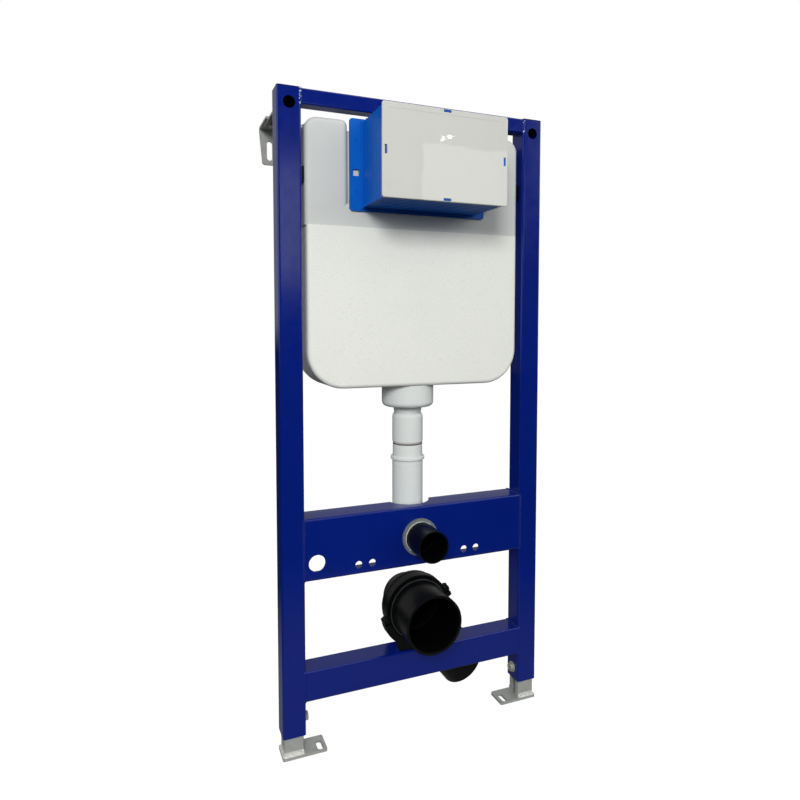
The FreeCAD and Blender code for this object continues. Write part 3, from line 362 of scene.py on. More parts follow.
def evenly(line, spacing, closed):
    """Distances along a line at even steps, the places there, and the line's direction there."""
    whole = np.concatenate([line, line[:1]]) if closed else line
    length = np.concatenate([[0.0], np.cumsum(np.linalg.norm(np.diff(whole, axis=0), axis=1))])
    along = np.linspace(0.0, length[-1], int(length[-1] / spacing), endpoint=not closed)
    places = np.stack([np.interp(along, length, whole[:, axis]) for axis in (0, 1)], 1)
    heading = np.roll(places, -1, 0) - np.roll(places, 1, 0) if closed else np.gradient(places, axis=0)
    return along, places, heading / np.linalg.norm(heading, axis=1, keepdims=True)


AXES = {"X": np.eye(3)[[1, 2, 0]], "-X": np.array([[0, 0, 1], [0, 1, 0], [-1, 0, 0]]),
        "Y": np.eye(3)[[2, 0, 1]], "Z": np.eye(3)}


def turned(base, axis, pairs, flats=None, sides=6, count=72):
    """Rings round an axis through base, one for each pair of radius and distance along it. With flats, a ring
    is held inside a polygon that wide across its flats: at the angle a from the nearest flat's middle its
    radius is at most flats / 2 / cos a."""
    side, up, along = AXES[axis]
    pairs = np.asarray(pairs, float)
    angle = 2 * np.pi * np.arange(count) / count
    reach = np.broadcast_to(pairs[:, :1], (len(pairs), count))
    if flats:
        off = (angle + np.pi / sides) % (2 * np.pi / sides) - np.pi / sides
        reach = np.minimum(reach, flats / 2 / np.cos(off))
    ring = np.cos(angle)[:, None] * side + np.sin(angle)[:, None] * up
    return np.asarray(base, float) + reach[..., None] * ring + pairs[:, 1, None, None] * along


BEAD_DRIFT = 17.0


def bead(level, plane, outline, closed, radius, sunk, ripple, swell=0.1):
    """A round bead along an outline in the plane across x or y: a circle whose radius is radius times
    1 + swell cos(2 pi s / ripple) + swell / 2 sin(2 pi s / BEAD_DRIFT) at the distance s, its middle sunk
    under the edge."""
    along, places, heading = evenly(outline, ripple / 5, closed)
    outward = np.stack([heading[:, 1], -heading[:, 0]], 1)
    size = radius * (1 + swell * np.cos(2 * np.pi * along / ripple)
                     + swell / 2 * np.sin(2 * np.pi * along / BEAD_DRIFT))
    angle = 2 * np.pi * np.arange(12) / 12
    flat = (places - sunk * outward)[:, None] + (size[:, None] * np.sin(angle))[..., None] * outward[:, None]
    across = size[:, None] * np.cos(angle)
    if plane == "x":
        return np.stack([level + across, flat[..., 0], flat[..., 1]], -1), closed
    return np.stack([flat[..., 0], level - across, flat[..., 1]], -1), closed


# welds where the rails' ends meet the posts: ripples about 3 mm apart, sunk so that a low bead shows
BEAD, BEAD_SUNK, RIPPLE = 2.6, 1.4, 3.0
for rail, finish in (("top_rail", chipped_coat), ("bottom_rail", None)):
    low, high = span(rail)
    outline = rounded([(low[1], low[2]), (high[1], low[2]), (high[1], high[2]), (low[1], high[2])], 2.2)
    for side, end in (("left", low[0] - BEAD_SUNK), ("right", high[0] + BEAD_SUNK)):
        new_piece(f"{side}_{rail}_weld", [bead(end, "x", outline, True, BEAD, BEAD_SUNK, RIPPLE)], "frame",
                  "blue_enamel", finish)
low, high = span("fixing_rail")
LOWER_FLANGE = 35.5
outline = rounded([(high[1], high[2]), (low[1], high[2]), (low[1], low[2]), (LOWER_FLANGE, low[2])], 4.0,
                  closed=False)
for side, end in (("left", low[0] - BEAD_SUNK), ("right", high[0] + BEAD_SUNK)):
    new_piece(f"{side}_fixing_rail_weld", [bead(end, "x", outline, False, BEAD, BEAD_SUNK, RIPPLE)], "frame",
              "blue_enamel")

# fixing rail: the folded channel with its holes; through them the lower flange shows less deep than the upper
SHEET, FOLD_OUT, FOLD_IN, SHEET_EDGE = 3.0, 4.6, 1.8, 0.4
PAN_HEIGHT, PAN_HOLE, PAN_HOLES = 320.0, 6.5, (-115.0, -90.0, 90.0, 115.0)
SERVICE_HOLE, SERVICE_IN, SERVICE_UP, FLUSH_HOLE, FLUSH_UP = 14.5, 21.0, 13.0, 30.5, 35.0
PIPE_NOTCH, NOTCH_REACH, DRILL_BEFORE, DRILL = 40.0, 5.0, -10.0, 20.0
section = rounded([(low[1], low[2]), (LOWER_FLANGE, low[2]), (LOWER_FLANGE, low[2] + SHEET),
                   (SHEET, low[2] + SHEET), (SHEET, high[2] - SHEET), (high[1], high[2] - SHEET),
                   (high[1], high[2]), (low[1], high[2])],
                  [FOLD_OUT, SHEET_EDGE, SHEET_EDGE, FOLD_IN, FOLD_IN, SHEET_EDGE, SHEET_EDGE, FOLD_OUT])
channel = np.stack([np.stack([np.full(len(section), end), section[:, 0], section[:, 1]], 1)
                    for end in (low[0], high[0])])
rail = new_piece("pan_rail", [(channel, False)], "frame", "blue_enamel", None, "fixing_rail")
pipe_low, pipe_high = span("flush_pipe")
pipe_depth = (pipe_low[1] + pipe_high[1]) / 2
drilled_places = [(x, PAN_HEIGHT, PAN_HOLE) for x in PAN_HOLES]
drilled_places += [(low[0] + SERVICE_IN, PAN_HEIGHT + SERVICE_UP, SERVICE_HOLE),
                   (0.0, PAN_HEIGHT + FLUSH_UP, FLUSH_HOLE)]
drills = [turned((x, DRILL_BEFORE, z), "Y", [(radius, 0.0), (radius, DRILL)])
          for x, z, radius in drilled_places]
drills.append(turned((0.0, pipe_depth, 0.0), "Z", [(PIPE_NOTCH, high[2] - NOTCH_REACH),
                                                   (PIPE_NOTCH, high[2] + NOTCH_REACH)]))
cutter = new_piece("pan_rail_drills", [(drill, False) for drill in drills], "frame", "blue_enamel")
holes = rail.modifiers.new("holes", "BOOLEAN")
holes.object = cutter
holes.solver = "EXACT"
drilled = bpy.data.meshes.new_from_object(rail.evaluated_get(bpy.context.evaluated_depsgraph_get()))
rail.modifiers.clear()
rail.data = drilled
drilled.shade_smooth()
drilled.set_sharp_from_angle(angle=SHARP)
bpy.data.objects.remove(cutter)


# fillet of the feet's welds: its size, then its ripples, their slow drift and the step between places
FILLET_OUT, FILLET_UP, FILLET_SUNK = 3.2, 7.5, 0.6
FILLET_RIPPLE, FILLET_SWELL, FILLET_DRIFT, FILLET_STEP = 2.6, 0.08, 11.0, 0.55


def foot_weld(side):
    """The weld between a leg and its plate: a hollow fillet carried along the leg's front, outer and back
    sides. At the angle a of a quarter turn it stands out by FILLET_OUT (1 - sin a) and up by
    FILLET_UP (1 - cos a), all of it swelling with the ripples along the seam."""
    low, high = span(f"{side}_leg")
    inner, outer = (high[0], low[0]) if side == "left" else (low[0], high[0])
    corners = [(inner, low[1]), (outer, low[1]), (outer, high[1]), (inner, high[1])]
    if side == "right":
        corners = corners[::-1]
    along, places, heading = evenly(rounded(corners, 2.5, closed=False), FILLET_STEP, False)
    outward = np.stack([-heading[:, 1], heading[:, 0]], 1)
    quarter = np.linspace(0.0, np.pi / 2, 9)
    out = np.concatenate([[-FILLET_SUNK, FILLET_OUT], FILLET_OUT * (1 - np.sin(quarter)), [-FILLET_SUNK]])
    up = np.concatenate([[-FILLET_SUNK, -FILLET_SUNK], FILLET_UP * (1 - np.cos(quarter)), [FILLET_UP]])
    size = (1 + FILLET_SWELL * np.cos(2 * np.pi * along / FILLET_RIPPLE)
            + FILLET_SWELL / 2 * np.sin(2 * np.pi * along / FILLET_DRIFT))
    flat = places[:, None] + (size[:, None] * out)[..., None] * outward[:, None]
    height = np.broadcast_to(low[2] + up, flat.shape[:2])
    return np.concatenate([flat, height[..., None]], -1), False


for side in ("left", "right"):
    # the feet's welds carry the pale zinc finish with its painted glints
    new_piece(f"{side}_foot_weld", [foot_weld(side)], f"{side}_leg", "galvanised_steel", sprayed_weld_painted_glints)


def hexagon_head(base, axis, flats, height, start=0.0):
    """A hexagon bolt head: six flats, their upper corners cut by a cone, and a slightly hollow top."""
    top = start + height
    return turned(base, axis, [(flats * 0.56, start), (flats * 0.6, start + 0.4), (flats * 0.6, top - 0.9),
                               (flats * 0.47, top), (flats * 0.4, top), (flats * 0.37, top - 0.3),
                               (0.4, top - 0.35)], flats), False


# clamp bolts: washer, head, shank and the square nut inside the leg
HEAD_FLATS, HEAD, SHANK = 15.0, 5.5, 4.0
WASHER, WASHER_RADIUS, NUT, NUT_START, NUT_CORNER, NUT_FLATS = 1.6, 10.0, 7.0, -13.3, 12.6, 18.0
for side, axis in (("left", "X"), ("right", "-X")):
    low, high = span(f"{side}_clamp_bolt")
    post_low, post_high = span(f"{side}_post")
    face = post_high[0] if side == "left" else post_low[0]
    base = (face, (low[1] + high[1]) / 2, (low[2] + high[2]) / 2)
    washer = turned(base, axis, [(9.4, 0.05), (WASHER_RADIUS, 0.4), (WASHER_RADIUS, 1.2), (9.5, WASHER),
                                 (0.4, WASHER)])
    shank = turned(base, axis, [(SHANK, NUT_START + NUT - 0.5), (SHANK, WASHER - 0.2)])
    nut = turned(base, axis, [(12.0, NUT_START), (NUT_CORNER, NUT_START + 0.5),
                              (NUT_CORNER, NUT_START + NUT - 0.5), (12.0, NUT_START + NUT)], NUT_FLATS, 4)
    head = hexagon_head(base, axis, HEAD_FLATS, HEAD, WASHER)
    new_piece(f"{side}_clamp_fastener", [(washer, False), head, (shank, False), (nut, False)], "frame",
              "zinc_fasteners", None, f"{side}_clamp_bolt")

# bolts that hold the brackets on their arms
GRIP = 8.0
for side in ("left", "right"):
    low, high = span(f"{side}_bracket_bolt")
    base = ((low[0] + high[0]) / 2, (low[1] + high[1]) / 2, span(f"{side}_wall_bracket")[1][2])
    shank = turned(base, "Z", [(3.6, -GRIP - HEAD), (SHANK, -GRIP - 5.0), (SHANK, 0.3)])
    nut = turned(base, "Z", [(7.0, -GRIP - HEAD), (9.0, -GRIP - 4.6), (9.0, -GRIP - 0.9), (7.0, -GRIP)],
                 HEAD_FLATS)
    head = hexagon_head(base, "Z", HEAD_FLATS, HEAD)
    new_piece(f"{side}_bracket_fastener", [head, (shank, False), (nut, False)], "frame", "zinc_fasteners",
              None, f"{side}_bracket_bolt")

# black plates inside the posts' upper ends, behind their holes: painted shade, so that the holes look dark
# and nothing shows through there
PLATE_DEPTH, PLATE_SHEET, PLATE_TALL, PLATE_GAP, PLATE_DROP = 29.0, 3.0, 36.0, 3.2, 28.0
for side in ("left", "right"):
    low, high = span(f"{side}_post")
    first, last = low[0] + PLATE_GAP, high[0] - PLATE_GAP
    outline = rounded([(first, -PLATE_TALL / 2), (last, -PLATE_TALL / 2), (last, PLATE_TALL / 2),
                       (first, PLATE_TALL / 2)], 2.0)[::-1]
    rows = [np.stack([outline[:, 0], np.full(len(outline), level), outline[:, 1] + high[2] - PLATE_DROP], 1)
            for level in (PLATE_DEPTH, PLATE_DEPTH + PLATE_SHEET)]
    new_piece(f"{side}_post_shade_plate", [(np.stack(rows), False)], "frame", "black_polyethylene")

# upper flush pipe: a sleeve with a rolled lower lip and a drawn-in shoulder, and the seal in its joint
low, high = span("flush_pipe")
pipe_foot = ((low[0] + high[0]) / 2, (low[1] + high[1]) / 2, 0.0)
PIPE_IN, PIPE_LOW, PIPE_GROOVE, PIPE_HIGH, GROOVE_LOW, GROOVE_HIGH = 25.5, 27.7, 26.5, 28.5, 514.8, 517.4
profile = rounded([(PIPE_IN, low[2]), (PIPE_LOW, low[2]), (PIPE_LOW, GROOVE_LOW - 0.6),
                   (PIPE_GROOVE, GROOVE_LOW), (PIPE_GROOVE, GROOVE_HIGH), (PIPE_HIGH, GROOVE_HIGH + 2.8),
                   (PIPE_HIGH, high[2] - 5.5), (26.9, high[2] - 0.2), (PIPE_IN, high[2])],
                  [0.2, 0.5, 0.3, 0.2, 0.2, 1.8, 2.8, 0.8, 0.3])
new_piece("flush_pipe_sleeve", [(turned(pipe_foot, "Z", profile, count=96), True)], "frame", "white_pipe",
          None, "flush_pipe")
SEAL_IN, SEAL_OUT, SEAL_GAP = 26.2, 27.5, 0.1
profile = rounded([(SEAL_IN, GROOVE_LOW + SEAL_GAP), (SEAL_OUT, GROOVE_LOW + SEAL_GAP),
                   (SEAL_OUT, GROOVE_HIGH - SEAL_GAP), (SEAL_IN, GROOVE_HIGH - SEAL_GAP)], 0.4)
new_piece("flush_pipe_seal", [(turned(pipe_foot, "Z", profile, count=96), True)], "frame", "grey_ring",
          brown_rubber)

# lower flush pipe: a rounded bead over its upper end and the fine step of its socket's foot
joint = span("flush_bend")[1][2]
BEND_RADIUS, ROLL, STEP = 28.0, 31.6, 28.8
roll = rounded([(BEND_RADIUS, joint - 5.7), (ROLL, joint - 5.7), (ROLL, joint + 0.7),
                (BEND_RADIUS, joint + 0.7)], [0.3, 1.8, 1.8, 0.3])
step = rounded([(BEND_RADIUS, joint - 14.0), (STEP, joint - 14.0), (STEP, joint - 12.4),
                (BEND_RADIUS, joint - 12.4)], 0.25)
new_piece("flush_pipe_bead", [(turned(pipe_foot, "Z", roll, count=96), True),
                              (turned(pipe_foot, "Z", step, count=96), True)], "frame", "white_pipe")

# waste bend and clamp: slimmer than their solids by a few millimetres, as the real ones are
sleeve_low, sleeve_high = span("waste_sleeve")
waste_axis = np.array([(sleeve_low[0] + sleeve_high[0]) / 2, 0.0, (sleeve_low[2] + sleeve_high[2]) / 2])
SOCKET_FRONT, SOCKET, BEND, LEG = span("waste_bend")[0][1], 42.0, 49.0, 172.9
SOCKET_IN, SOCKET_OUT, SOCKET_DEPTH, GROOVE, BELL = 51.3, 55.4, 18.0, 54.2, 58.4
WASTE_OUT, WASTE_IN = 45.0, 41.0
BEND_END = SOCKET + BEND * math.pi / 2
BEND_TURN, CLAMP_TURN = math.radians(38.0), math.radians(20.0)
BACK = np.array([0.0, 1.0, 0.0])
DOWN = np.array([math.sin(BEND_TURN), 0.0, -math.cos(BEND_TURN)])


def bent_pipe(loop, count=72):
    """A closed loop of distances along the bend's middle line and radii, carried round that line: it runs
    back through the socket, turns down through a quarter circle and ends in the straight leg, and each ring
    lies across it."""
    along, radius = np.asarray(loop, float).T
    turn = np.clip((along - SOCKET) / BEND, 0.0, np.pi / 2)[:, None]
    back = SOCKET_FRONT + np.minimum(along, SOCKET)[:, None] + BEND * np.sin(turn)
    down = BEND * (1 - np.cos(turn)) + np.maximum(along - BEND_END, 0.0)[:, None]
    outward = np.sin(turn) * BACK - np.cos(turn) * DOWN
    angle = 2 * np.pi * np.arange(count)[:, None] / count
    ring = np.cos(angle) * np.cross(BACK, DOWN) + np.sin(angle) * outward[:, None]
    return (waste_axis + back * BACK + down * DOWN)[:, None] + radius[:, None, None] * ring


def at_radius(first, last, radius, steps=20):
    """Even distances along the bend at one radius."""
    return np.stack([np.linspace(first, last, steps), np.full(steps, radius)], 1)


# the socket's outline in distances behind its front and radii, from inside round its mouth to the bend
socket = rounded([(SOCKET_DEPTH, SOCKET_IN), (0.0, SOCKET_IN), (0.0, SOCKET_OUT), (20.8, SOCKET_OUT),
                  (21.6, GROOVE), (27.0, GROOVE), (28.2, BELL), (38.5, BELL), (41.8, WASTE_OUT)],
                 [0.1, 0.5, 0.8, 0.3, 0.3, 0.5, 0.6, 4.5, 0.1], closed=False)
tip = BEND_END + LEG
leg_end = [(tip - 0.6, WASTE_OUT), (tip, WASTE_OUT - 0.7), (tip, WASTE_IN + 0.6), (tip - 0.6, WASTE_IN)]
loop = np.concatenate([socket, at_radius(44.0, BEND_END, WASTE_OUT), leg_end,
                       at_radius(BEND_END, SOCKET, WASTE_IN), [(SOCKET_DEPTH, WASTE_IN)]])
new_piece("waste_elbow", [(bent_pipe(loop), True)], "frame", "black_polyethylene", None, "waste_bend")
# the socket's sealing lip, its grey a painted highlight along the ring
LIP_IN, LIP_OUT = 52.0, 54.6
lip = rounded([(LIP_IN, SOCKET_FRONT - 1.4), (LIP_OUT, SOCKET_FRONT - 1.4), (LIP_OUT, SOCKET_FRONT + 0.4),
               (LIP_IN, SOCKET_FRONT + 0.4)], 0.8)
new_piece("waste_socket_lip", [(turned(waste_axis, "Y", lip, count=96), True)], "frame", "black_polyethylene",
          greased_lip_painted_highlight)
# ribs round the groove behind the socket: each an outline beside and along its own radius, drawn backwards
RIBS, RIB_FOOT, RIB_TOP, RIB_FRONT, RIB_BACK = 34, 53.8, 58.0, 25.0, 32.0
rib_angle = 2 * np.pi * (np.arange(RIBS) + 0.5) / RIBS
rib_out = np.stack([np.cos(rib_angle), 0 * rib_angle, np.sin(rib_angle)], 1)
rib_side = np.stack([-np.sin(rib_angle), 0 * rib_angle, np.cos(rib_angle)], 1)
rib_shape = rounded([(-1.6, RIB_FOOT), (1.6, RIB_FOOT), (1.3, RIB_TOP), (-1.3, RIB_TOP)],
                    [0.2, 0.2, 0.8, 0.8], steps=4)
rib_ends = np.array([RIB_FRONT, RIB_BACK])[None, :, None, None] * BACK
ribs = (waste_axis + rib_shape[None, None, :, :1] * rib_side[:, None, None]
        + rib_shape[None, None, :, 1:] * rib_out[:, None, None] + rib_ends)
new_piece("waste_socket_ribs", [(rib, False) for rib in ribs], "frame", "black_polyethylene", black_nylon)


def tipped(points):
    """Places beside the waste axis, level, turned about it as far as the clamp is."""
    across, rise = points[..., 0], points[..., -1]
    spun = [across * math.cos(CLAMP_TURN) - rise * math.sin(CLAMP_TURN),
            across * math.sin(CLAMP_TURN) + rise * math.cos(CLAMP_TURN)]
    return np.stack([spun[0], points[..., 1], spun[1]], -1) if points.shape[-1] == 3 else np.stack(spun, -1)


def arc(radius, first, last, steps=48):
    """Places on a circle about the waste axis between two angles in degrees."""
    angle = np.radians(np.linspace(first, last, steps))
    return radius * np.stack([np.cos(angle), np.sin(angle)], 1)


def upright_plate(outline, front, back):
    """An outline of places beside and over the waste axis, drawn from the front to the back."""
    flat = outline[::-1]
    rows = [np.stack([flat[:, 0], np.full(len(flat), level), flat[:, 1]], 1) for level in (front, back)]
    return waste_axis + np.stack(rows), False


def worn_edges(made, width):
    """Rounds a piece's sharp edges, this many millimetres wide."""
    edge = made.modifiers.new("worn_edges", "BEVEL")
    edge.width = width * MM
    edge.segments = 2
    edge.limit_method = "ANGLE"
    edge.angle_limit = math.radians(40)


# waste clamp: an upper half band and a saddle on the bottom rail, with ears that two screws draw together
BAND_IN, BAND_OUT, SADDLE_OUT = 55.8, 61.4, 69.5
EAR_LOW, EAR_HIGH, RIGHT_EAR, LEFT_EAR, EDGE_WEAR = 1.5, 8.5, 69.0, 68.0, 0.8
UPPER_FRONT, UPPER_BACK, LOWER_FRONT, LOWER_BACK = 6.0, 24.0, 5.0, 27.0
SADDLE_LEFT, SADDLE_RIGHT, BAND_RIGHT = (-147, -124), (-56, -33), -24
tilt = math.degrees(CLAMP_TURN)
gap_angle = math.degrees(math.asin(EAR_LOW / BAND_IN))
ear_angle = math.degrees(math.asin(EAR_HIGH / BAND_OUT)) + 2.0
upper = np.concatenate([[(RIGHT_EAR, EAR_LOW), (RIGHT_EAR, EAR_HIGH)],
                        arc(BAND_OUT, ear_angle, 180 - ear_angle),
                        [(-LEFT_EAR, EAR_HIGH), (-LEFT_EAR, EAR_LOW)],
                        arc(BAND_IN, 180 - gap_angle, gap_angle)])
made = new_piece("waste_clamp_upper", [upright_plate(tipped(upper), UPPER_FRONT, UPPER_BACK)], "frame",
                 "black_polyethylene", black_nylon, "waste_clamp_strap")
worn_edges(made, EDGE_WEAR)
foot_low = span("bottom_rail")[1][2] - waste_axis[2]
FOOT_HALF, FOOT_TOP = 36.0, foot_low + 4.0
lower = np.concatenate([arc(BAND_IN, tilt - gap_angle, tilt - 180 + gap_angle),
                        tipped(np.array([(-LEFT_EAR, -EAR_LOW), (-LEFT_EAR, -EAR_HIGH)])),
                        arc(SADDLE_OUT, *SADDLE_LEFT, 12),
                        [(-FOOT_HALF, FOOT_TOP), (-FOOT_HALF, foot_low)],
                        [(FOOT_HALF, foot_low), (FOOT_HALF, FOOT_TOP)],
                        arc(SADDLE_OUT, *SADDLE_RIGHT, 12), arc(BAND_OUT, BAND_RIGHT, tilt - ear_angle, 18),
                        tipped(np.array([(RIGHT_EAR, -EAR_HIGH), (RIGHT_EAR, -EAR_LOW)]))])
made = new_piece("waste_clamp_lower", [upright_plate(lower, LOWER_FRONT, LOWER_BACK)], "frame",
                 "black_polyethylene", black_nylon, "waste_clamp_base")
worn_edges(made, EDGE_WEAR)
SCREW_DEPTH, SCREW, SCREW_FLATS, SCREW_HEAD = 15.0, 1.8, 6.0, 3.0
for side, ear, node in (("right", RIGHT_EAR - 3.2, "upper_clamp_screw"),
                        ("left", -LEFT_EAR + 4.5, "lower_clamp_screw")):
    base = (ear, SCREW_DEPTH, 0.0)
    shank = turned(base, "Z", [(SCREW, -EAR_HIGH - 0.4), (SCREW, EAR_HIGH)])
    head = hexagon_head(base, "Z", SCREW_FLATS, SCREW_HEAD, EAR_HIGH)[0]
    grids = [(waste_axis + tipped(shape), False) for shape in (shank, head)]
    new_piece(f"{side}_clamp_ear_screw", grids, "frame", "zinc_fasteners", black_steel, node)

# painted shade in the two mouths: near black sheets, a cup in the flush stub and a plain tube in the waste
# sleeve
FLUSH_SHADE_IN, FLUSH_SHADE_OUT, WASTE_SHADE_IN, WASTE_SHADE_OUT = 25.1, 25.45, 47.0, 47.45
stub_low, stub_high = span("flush_stub")
stub_axis = ((stub_low[0] + stub_high[0]) / 2, 0.0, (stub_low[2] + stub_high[2]) / 2)
painted_shade = rounded([(FLUSH_SHADE_IN, stub_low[1] + 0.8), (FLUSH_SHADE_OUT, stub_low[1] + 0.8),
                  (FLUSH_SHADE_OUT, stub_high[1] - 3.2), (0.5, stub_high[1] - 3.2),
                  (0.5, stub_high[1] - 4.0), (FLUSH_SHADE_IN, stub_high[1] - 4.0)], 0.1)
new_piece("flush_mouth_painted_shade", [(turned(stub_axis, "Y", painted_shade, count=96), True)], "frame",
          "black_polyethylene", mouth_painted_shade)
painted_shade = rounded([(WASTE_SHADE_IN, sleeve_low[1] + 1.0), (WASTE_SHADE_OUT, sleeve_low[1] + 1.0),
                  (WASTE_SHADE_OUT, sleeve_high[1] - 0.3), (WASTE_SHADE_IN, sleeve_high[1] - 0.3)], 0.1)
new_piece("waste_mouth_painted_shade", [(turned(waste_axis, "Y", painted_shade, count=96), True)], "frame",
          "black_polyethylene", mouth_painted_shade)

# cistern: the mould's parting line over its sides and top, in the middle of its depth
low, high = span("cistern_tank")
edge, notch = span("access_box")[1][0] + 1.0, high[2] - 16.0
seam_foot = span("insulation_cover")[1][2] + 3.0
outline = rounded([(high[0], seam_foot), (high[0], high[2]), (edge, high[2]), (edge, notch), (-edge, notch),
                   (-edge, high[2]), (low[0], high[2]), (low[0], seam_foot)],
                  [0.1, 18.0, 9.0, 0.5, 0.5, 9.0, 18.0, 0.1], closed=False)
FLASH, FLASH_SUNK, FLASH_WAVE, FLASH_SWELL = 0.9, 0.45, 6.0, 0.02
flash = bead((low[1] + high[1]) / 2, "y", outline, False, FLASH, FLASH_SUNK, FLASH_WAVE, FLASH_SWELL)
new_piece("cistern_parting_line", [flash], "frame", "grey_polyethylene")

# camera at the photograph's place
lens = bpy.data.cameras.new("photo_camera")
lens.sensor_width = 36.0
lens.lens = 28.27
lens.shift_y = -0.0545
camera = bpy.data.objects.new("photo_camera", lens)
camera.location = shared((-450.2, -1018.9, 740.1))
camera.rotation_euler = (math.radians(86.92), 0.0, math.radians(-22.02))
bpy.context.scene.collection.objects.link(camera)
bpy.context.scene.camera = camera

# white surroundings for the camera; soft light for the object, strongest from the front and none from below;
# the gloss shows a room that is dark at eye level in front, bright above and to the sides and dim behind
world = bpy.data.worlds.new("studio")
bpy.context.scene.world = world
world.use_nodes = True
tree = world.node_tree
tree.nodes.clear()
direction = add(tree, "SeparateXYZ", {"Vector": add(tree, "TexCoord").outputs["Generated"]})
ray = add(tree, "LightPath")
ahead = add(tree, "MapRange", {"Value": direction.outputs["Y"], "From Min": 0.25, "From Max": -0.75,
                               "To Min": 0.22, "To Max": 0.98}, interpolation_type="SMOOTHSTEP")
fade = add(tree, "MapRange", {"Value": direction.outputs["Z"], "From Min": 0.1, "From Max": 0.95,
                              "To Min": 1.0, "To Max": 0.42})
soft = add(tree, "Math", {0: ahead.outputs["Result"], 1: fade.outputs["Result"]}, operation="MULTIPLY")
room = add(tree, "MapRange", {"Value": direction.outputs["Z"], "From Min": 0.38, "From Max": 0.8,
                              "To Min": 0.01, "To Max": 1.1}, interpolation_type="SMOOTHSTEP")
behind = add(tree, "MapRange", {"Value": direction.outputs["Y"], "From Min": -0.1, "From Max": 0.5},
             interpolation_type="SMOOTHSTEP")
mirrored = add(tree, "Mix", {"Factor": behind.outputs["Result"], 2: room.outputs["Result"], 3: 0.3})
aside = add(tree, "Math", {0: direction.outputs["X"]}, operation="ABSOLUTE")
flanks = add(tree, "MapRange", {"Value": aside.outputs["Value"], "From Min": 0.72, "From Max": 0.95,
                                "To Max": 1.3}, interpolation_type="SMOOTHSTEP")
gleam = add(tree, "Math", {0: mirrored.outputs[0], 1: flanks.outputs["Result"]}, operation="MAXIMUM")
round_about = add(tree, "Mix", {"Factor": behind.outputs["Result"], 2: soft.outputs["Value"], 3: 0.62})
either = add(tree, "Mix", {"Factor": ray.outputs["Is Glossy Ray"], 2: round_about.outputs[0],
                           3: gleam.outputs["Value"]})
above = add(tree, "MapRange", {"Value": direction.outputs["Z"], "From Min": -0.04, "From Max": 0.0})
lit = add(tree, "Math", {0: either.outputs[0], 1: above.outputs["Result"]}, operation="MULTIPLY")
seen = add(tree, "Math", {0: ray.outputs["Is Camera Ray"], 1: ray.outputs["Is Transmission Ray"]},
           operation="MAXIMUM")
strength = add(tree, "Mix", {"Factor": seen.outputs["Value"], 2: lit.outputs["Value"], 3: 1.0})
surround = add(tree, "Background", {"Color": (1.0, 1.0, 1.0, 1.0), "Strength": strength.outputs[0]})
add(tree, "OutputWorld", {"Surface": surround.outputs["Background"]})


def lamp(name, place, aim, width, height, power, mirrored=True):
    """A soft lamp of some width and height, in millimetres from middle, front and floor, that faces a point
    and shows in the gloss unless it isn't mirrored."""
    light = bpy.data.lights.new(name, "AREA")
    light.shape = "RECTANGLE"
    light.size = width * MM
    light.size_y = height * MM
    light.energy = power
    holder = bpy.data.objects.new(name, light)
    start, end = shared(place), shared(aim)
    holder.location = start
    across, depth, rise = end - start
    holder.rotation_euler = (math.atan2(math.hypot(across, depth), -rise), 0.0, math.atan2(-across, depth))
    holder.visible_glossy = mirrored
    bpy.context.scene.collection.objects.link(holder)


lamp("key_lamp", (-1100, -2200, 1750), (0, 0, 700), 800, 800, 44.0, mirrored=False)
lamp("side_lamp", (1500, -1100, 1700), (0, 0, 700), 900, 900, 2.5)
lamp("left_window", (366, -2800, 1350), (366, 0, 1350), 500, 760, 1.6)
lamp("right_window", (1490, -2800, 1520), (1490, 0, 1520), 660, 660, 2.2)
lamp("low_spot", (1300, -2800, 1880), (1300, 0, 1880), 26, 26, 0.06)
lamp("high_spot", (1350, -2800, 1905), (1350, 0, 1905), 26, 26, 0.06)

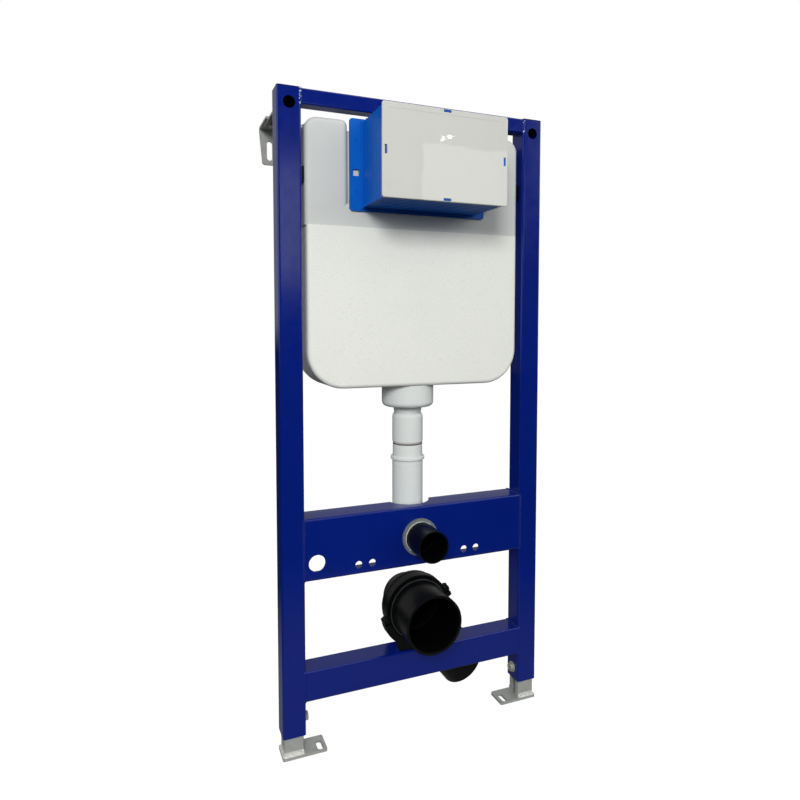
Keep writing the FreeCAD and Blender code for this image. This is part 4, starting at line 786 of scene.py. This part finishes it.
# pale floor: white to the camera, with a faint shadow of the object; what it throws back at the object falls
# off away from the frame's feet, so that the undersides and the gloss of the front stay as deep as the real
# ones; it is mostly see-through to the camera and to lamps, so that a leg let down past it still shows
GLOW, SEE_THROUGH = 0.72, 0.85
made, tree, place = new_material("pale_floor")
ray = add(tree, "LightPath")
away = add(tree, "VectorMath", {0: place, 1: shared((0.0, 0.0, 0.0)).tolist()}, operation="DISTANCE")
sheet = add(tree, "MapRange", {"Value": away.outputs["Value"], "From Min": 0.35, "From Max": 0.8})
thrown = add(tree, "Mix", {"Factor": sheet.outputs["Result"], 6: linear("#8C8C8A"), 7: linear("#2A2A29")},
             data_type="RGBA")
pale = add(tree, "Mix", {"Factor": ray.outputs["Is Camera Ray"], 6: thrown.outputs[2], 7: linear("#F4F4F2")},
           data_type="RGBA")
shadowed = add(tree, "BsdfDiffuse", {"Color": pale.outputs[2]})
glow = add(tree, "Math", {0: ray.outputs["Is Camera Ray"], 1: GLOW}, operation="MULTIPLY")
white = add(tree, "Emission", {"Color": (1.0, 1.0, 1.0, 1.0), "Strength": glow.outputs["Value"]})
both = add(tree, "AddShader", {0: shadowed.outputs["BSDF"], 1: white.outputs["Emission"]})
share = add(tree, "Math", {0: ray.outputs["Is Camera Ray"], 1: SEE_THROUGH}, operation="MULTIPLY")
clear = add(tree, "Math", {0: share.outputs["Value"], 1: ray.outputs["Is Shadow Ray"]}, operation="MAXIMUM")
opened = add(tree, "MixShader", {0: clear.outputs["Value"], 1: both.outputs["Shader"],
                                 2: add(tree, "BsdfTransparent").outputs["BSDF"]})
add(tree, "OutputMaterial", {"Surface": opened.outputs["Shader"]})
FLOOR_REACH = 9000.0
floor_corners = [(-FLOOR_REACH, -FLOOR_REACH, 0.0), (FLOOR_REACH, -FLOOR_REACH, 0.0),
                 (FLOOR_REACH, FLOOR_REACH, 0.0), (-FLOOR_REACH, FLOOR_REACH, 0.0)]
mesh = bpy.data.meshes.new("floor")
mesh.from_pydata(shared(floor_corners).tolist(), [], [(0, 1, 2, 3)])
mesh.materials.append(made)
floor = bpy.data.objects.new("floor", mesh)
bpy.context.scene.collection.objects.link(floor)

bpy.context.scene.view_settings.view_transform = "Standard"
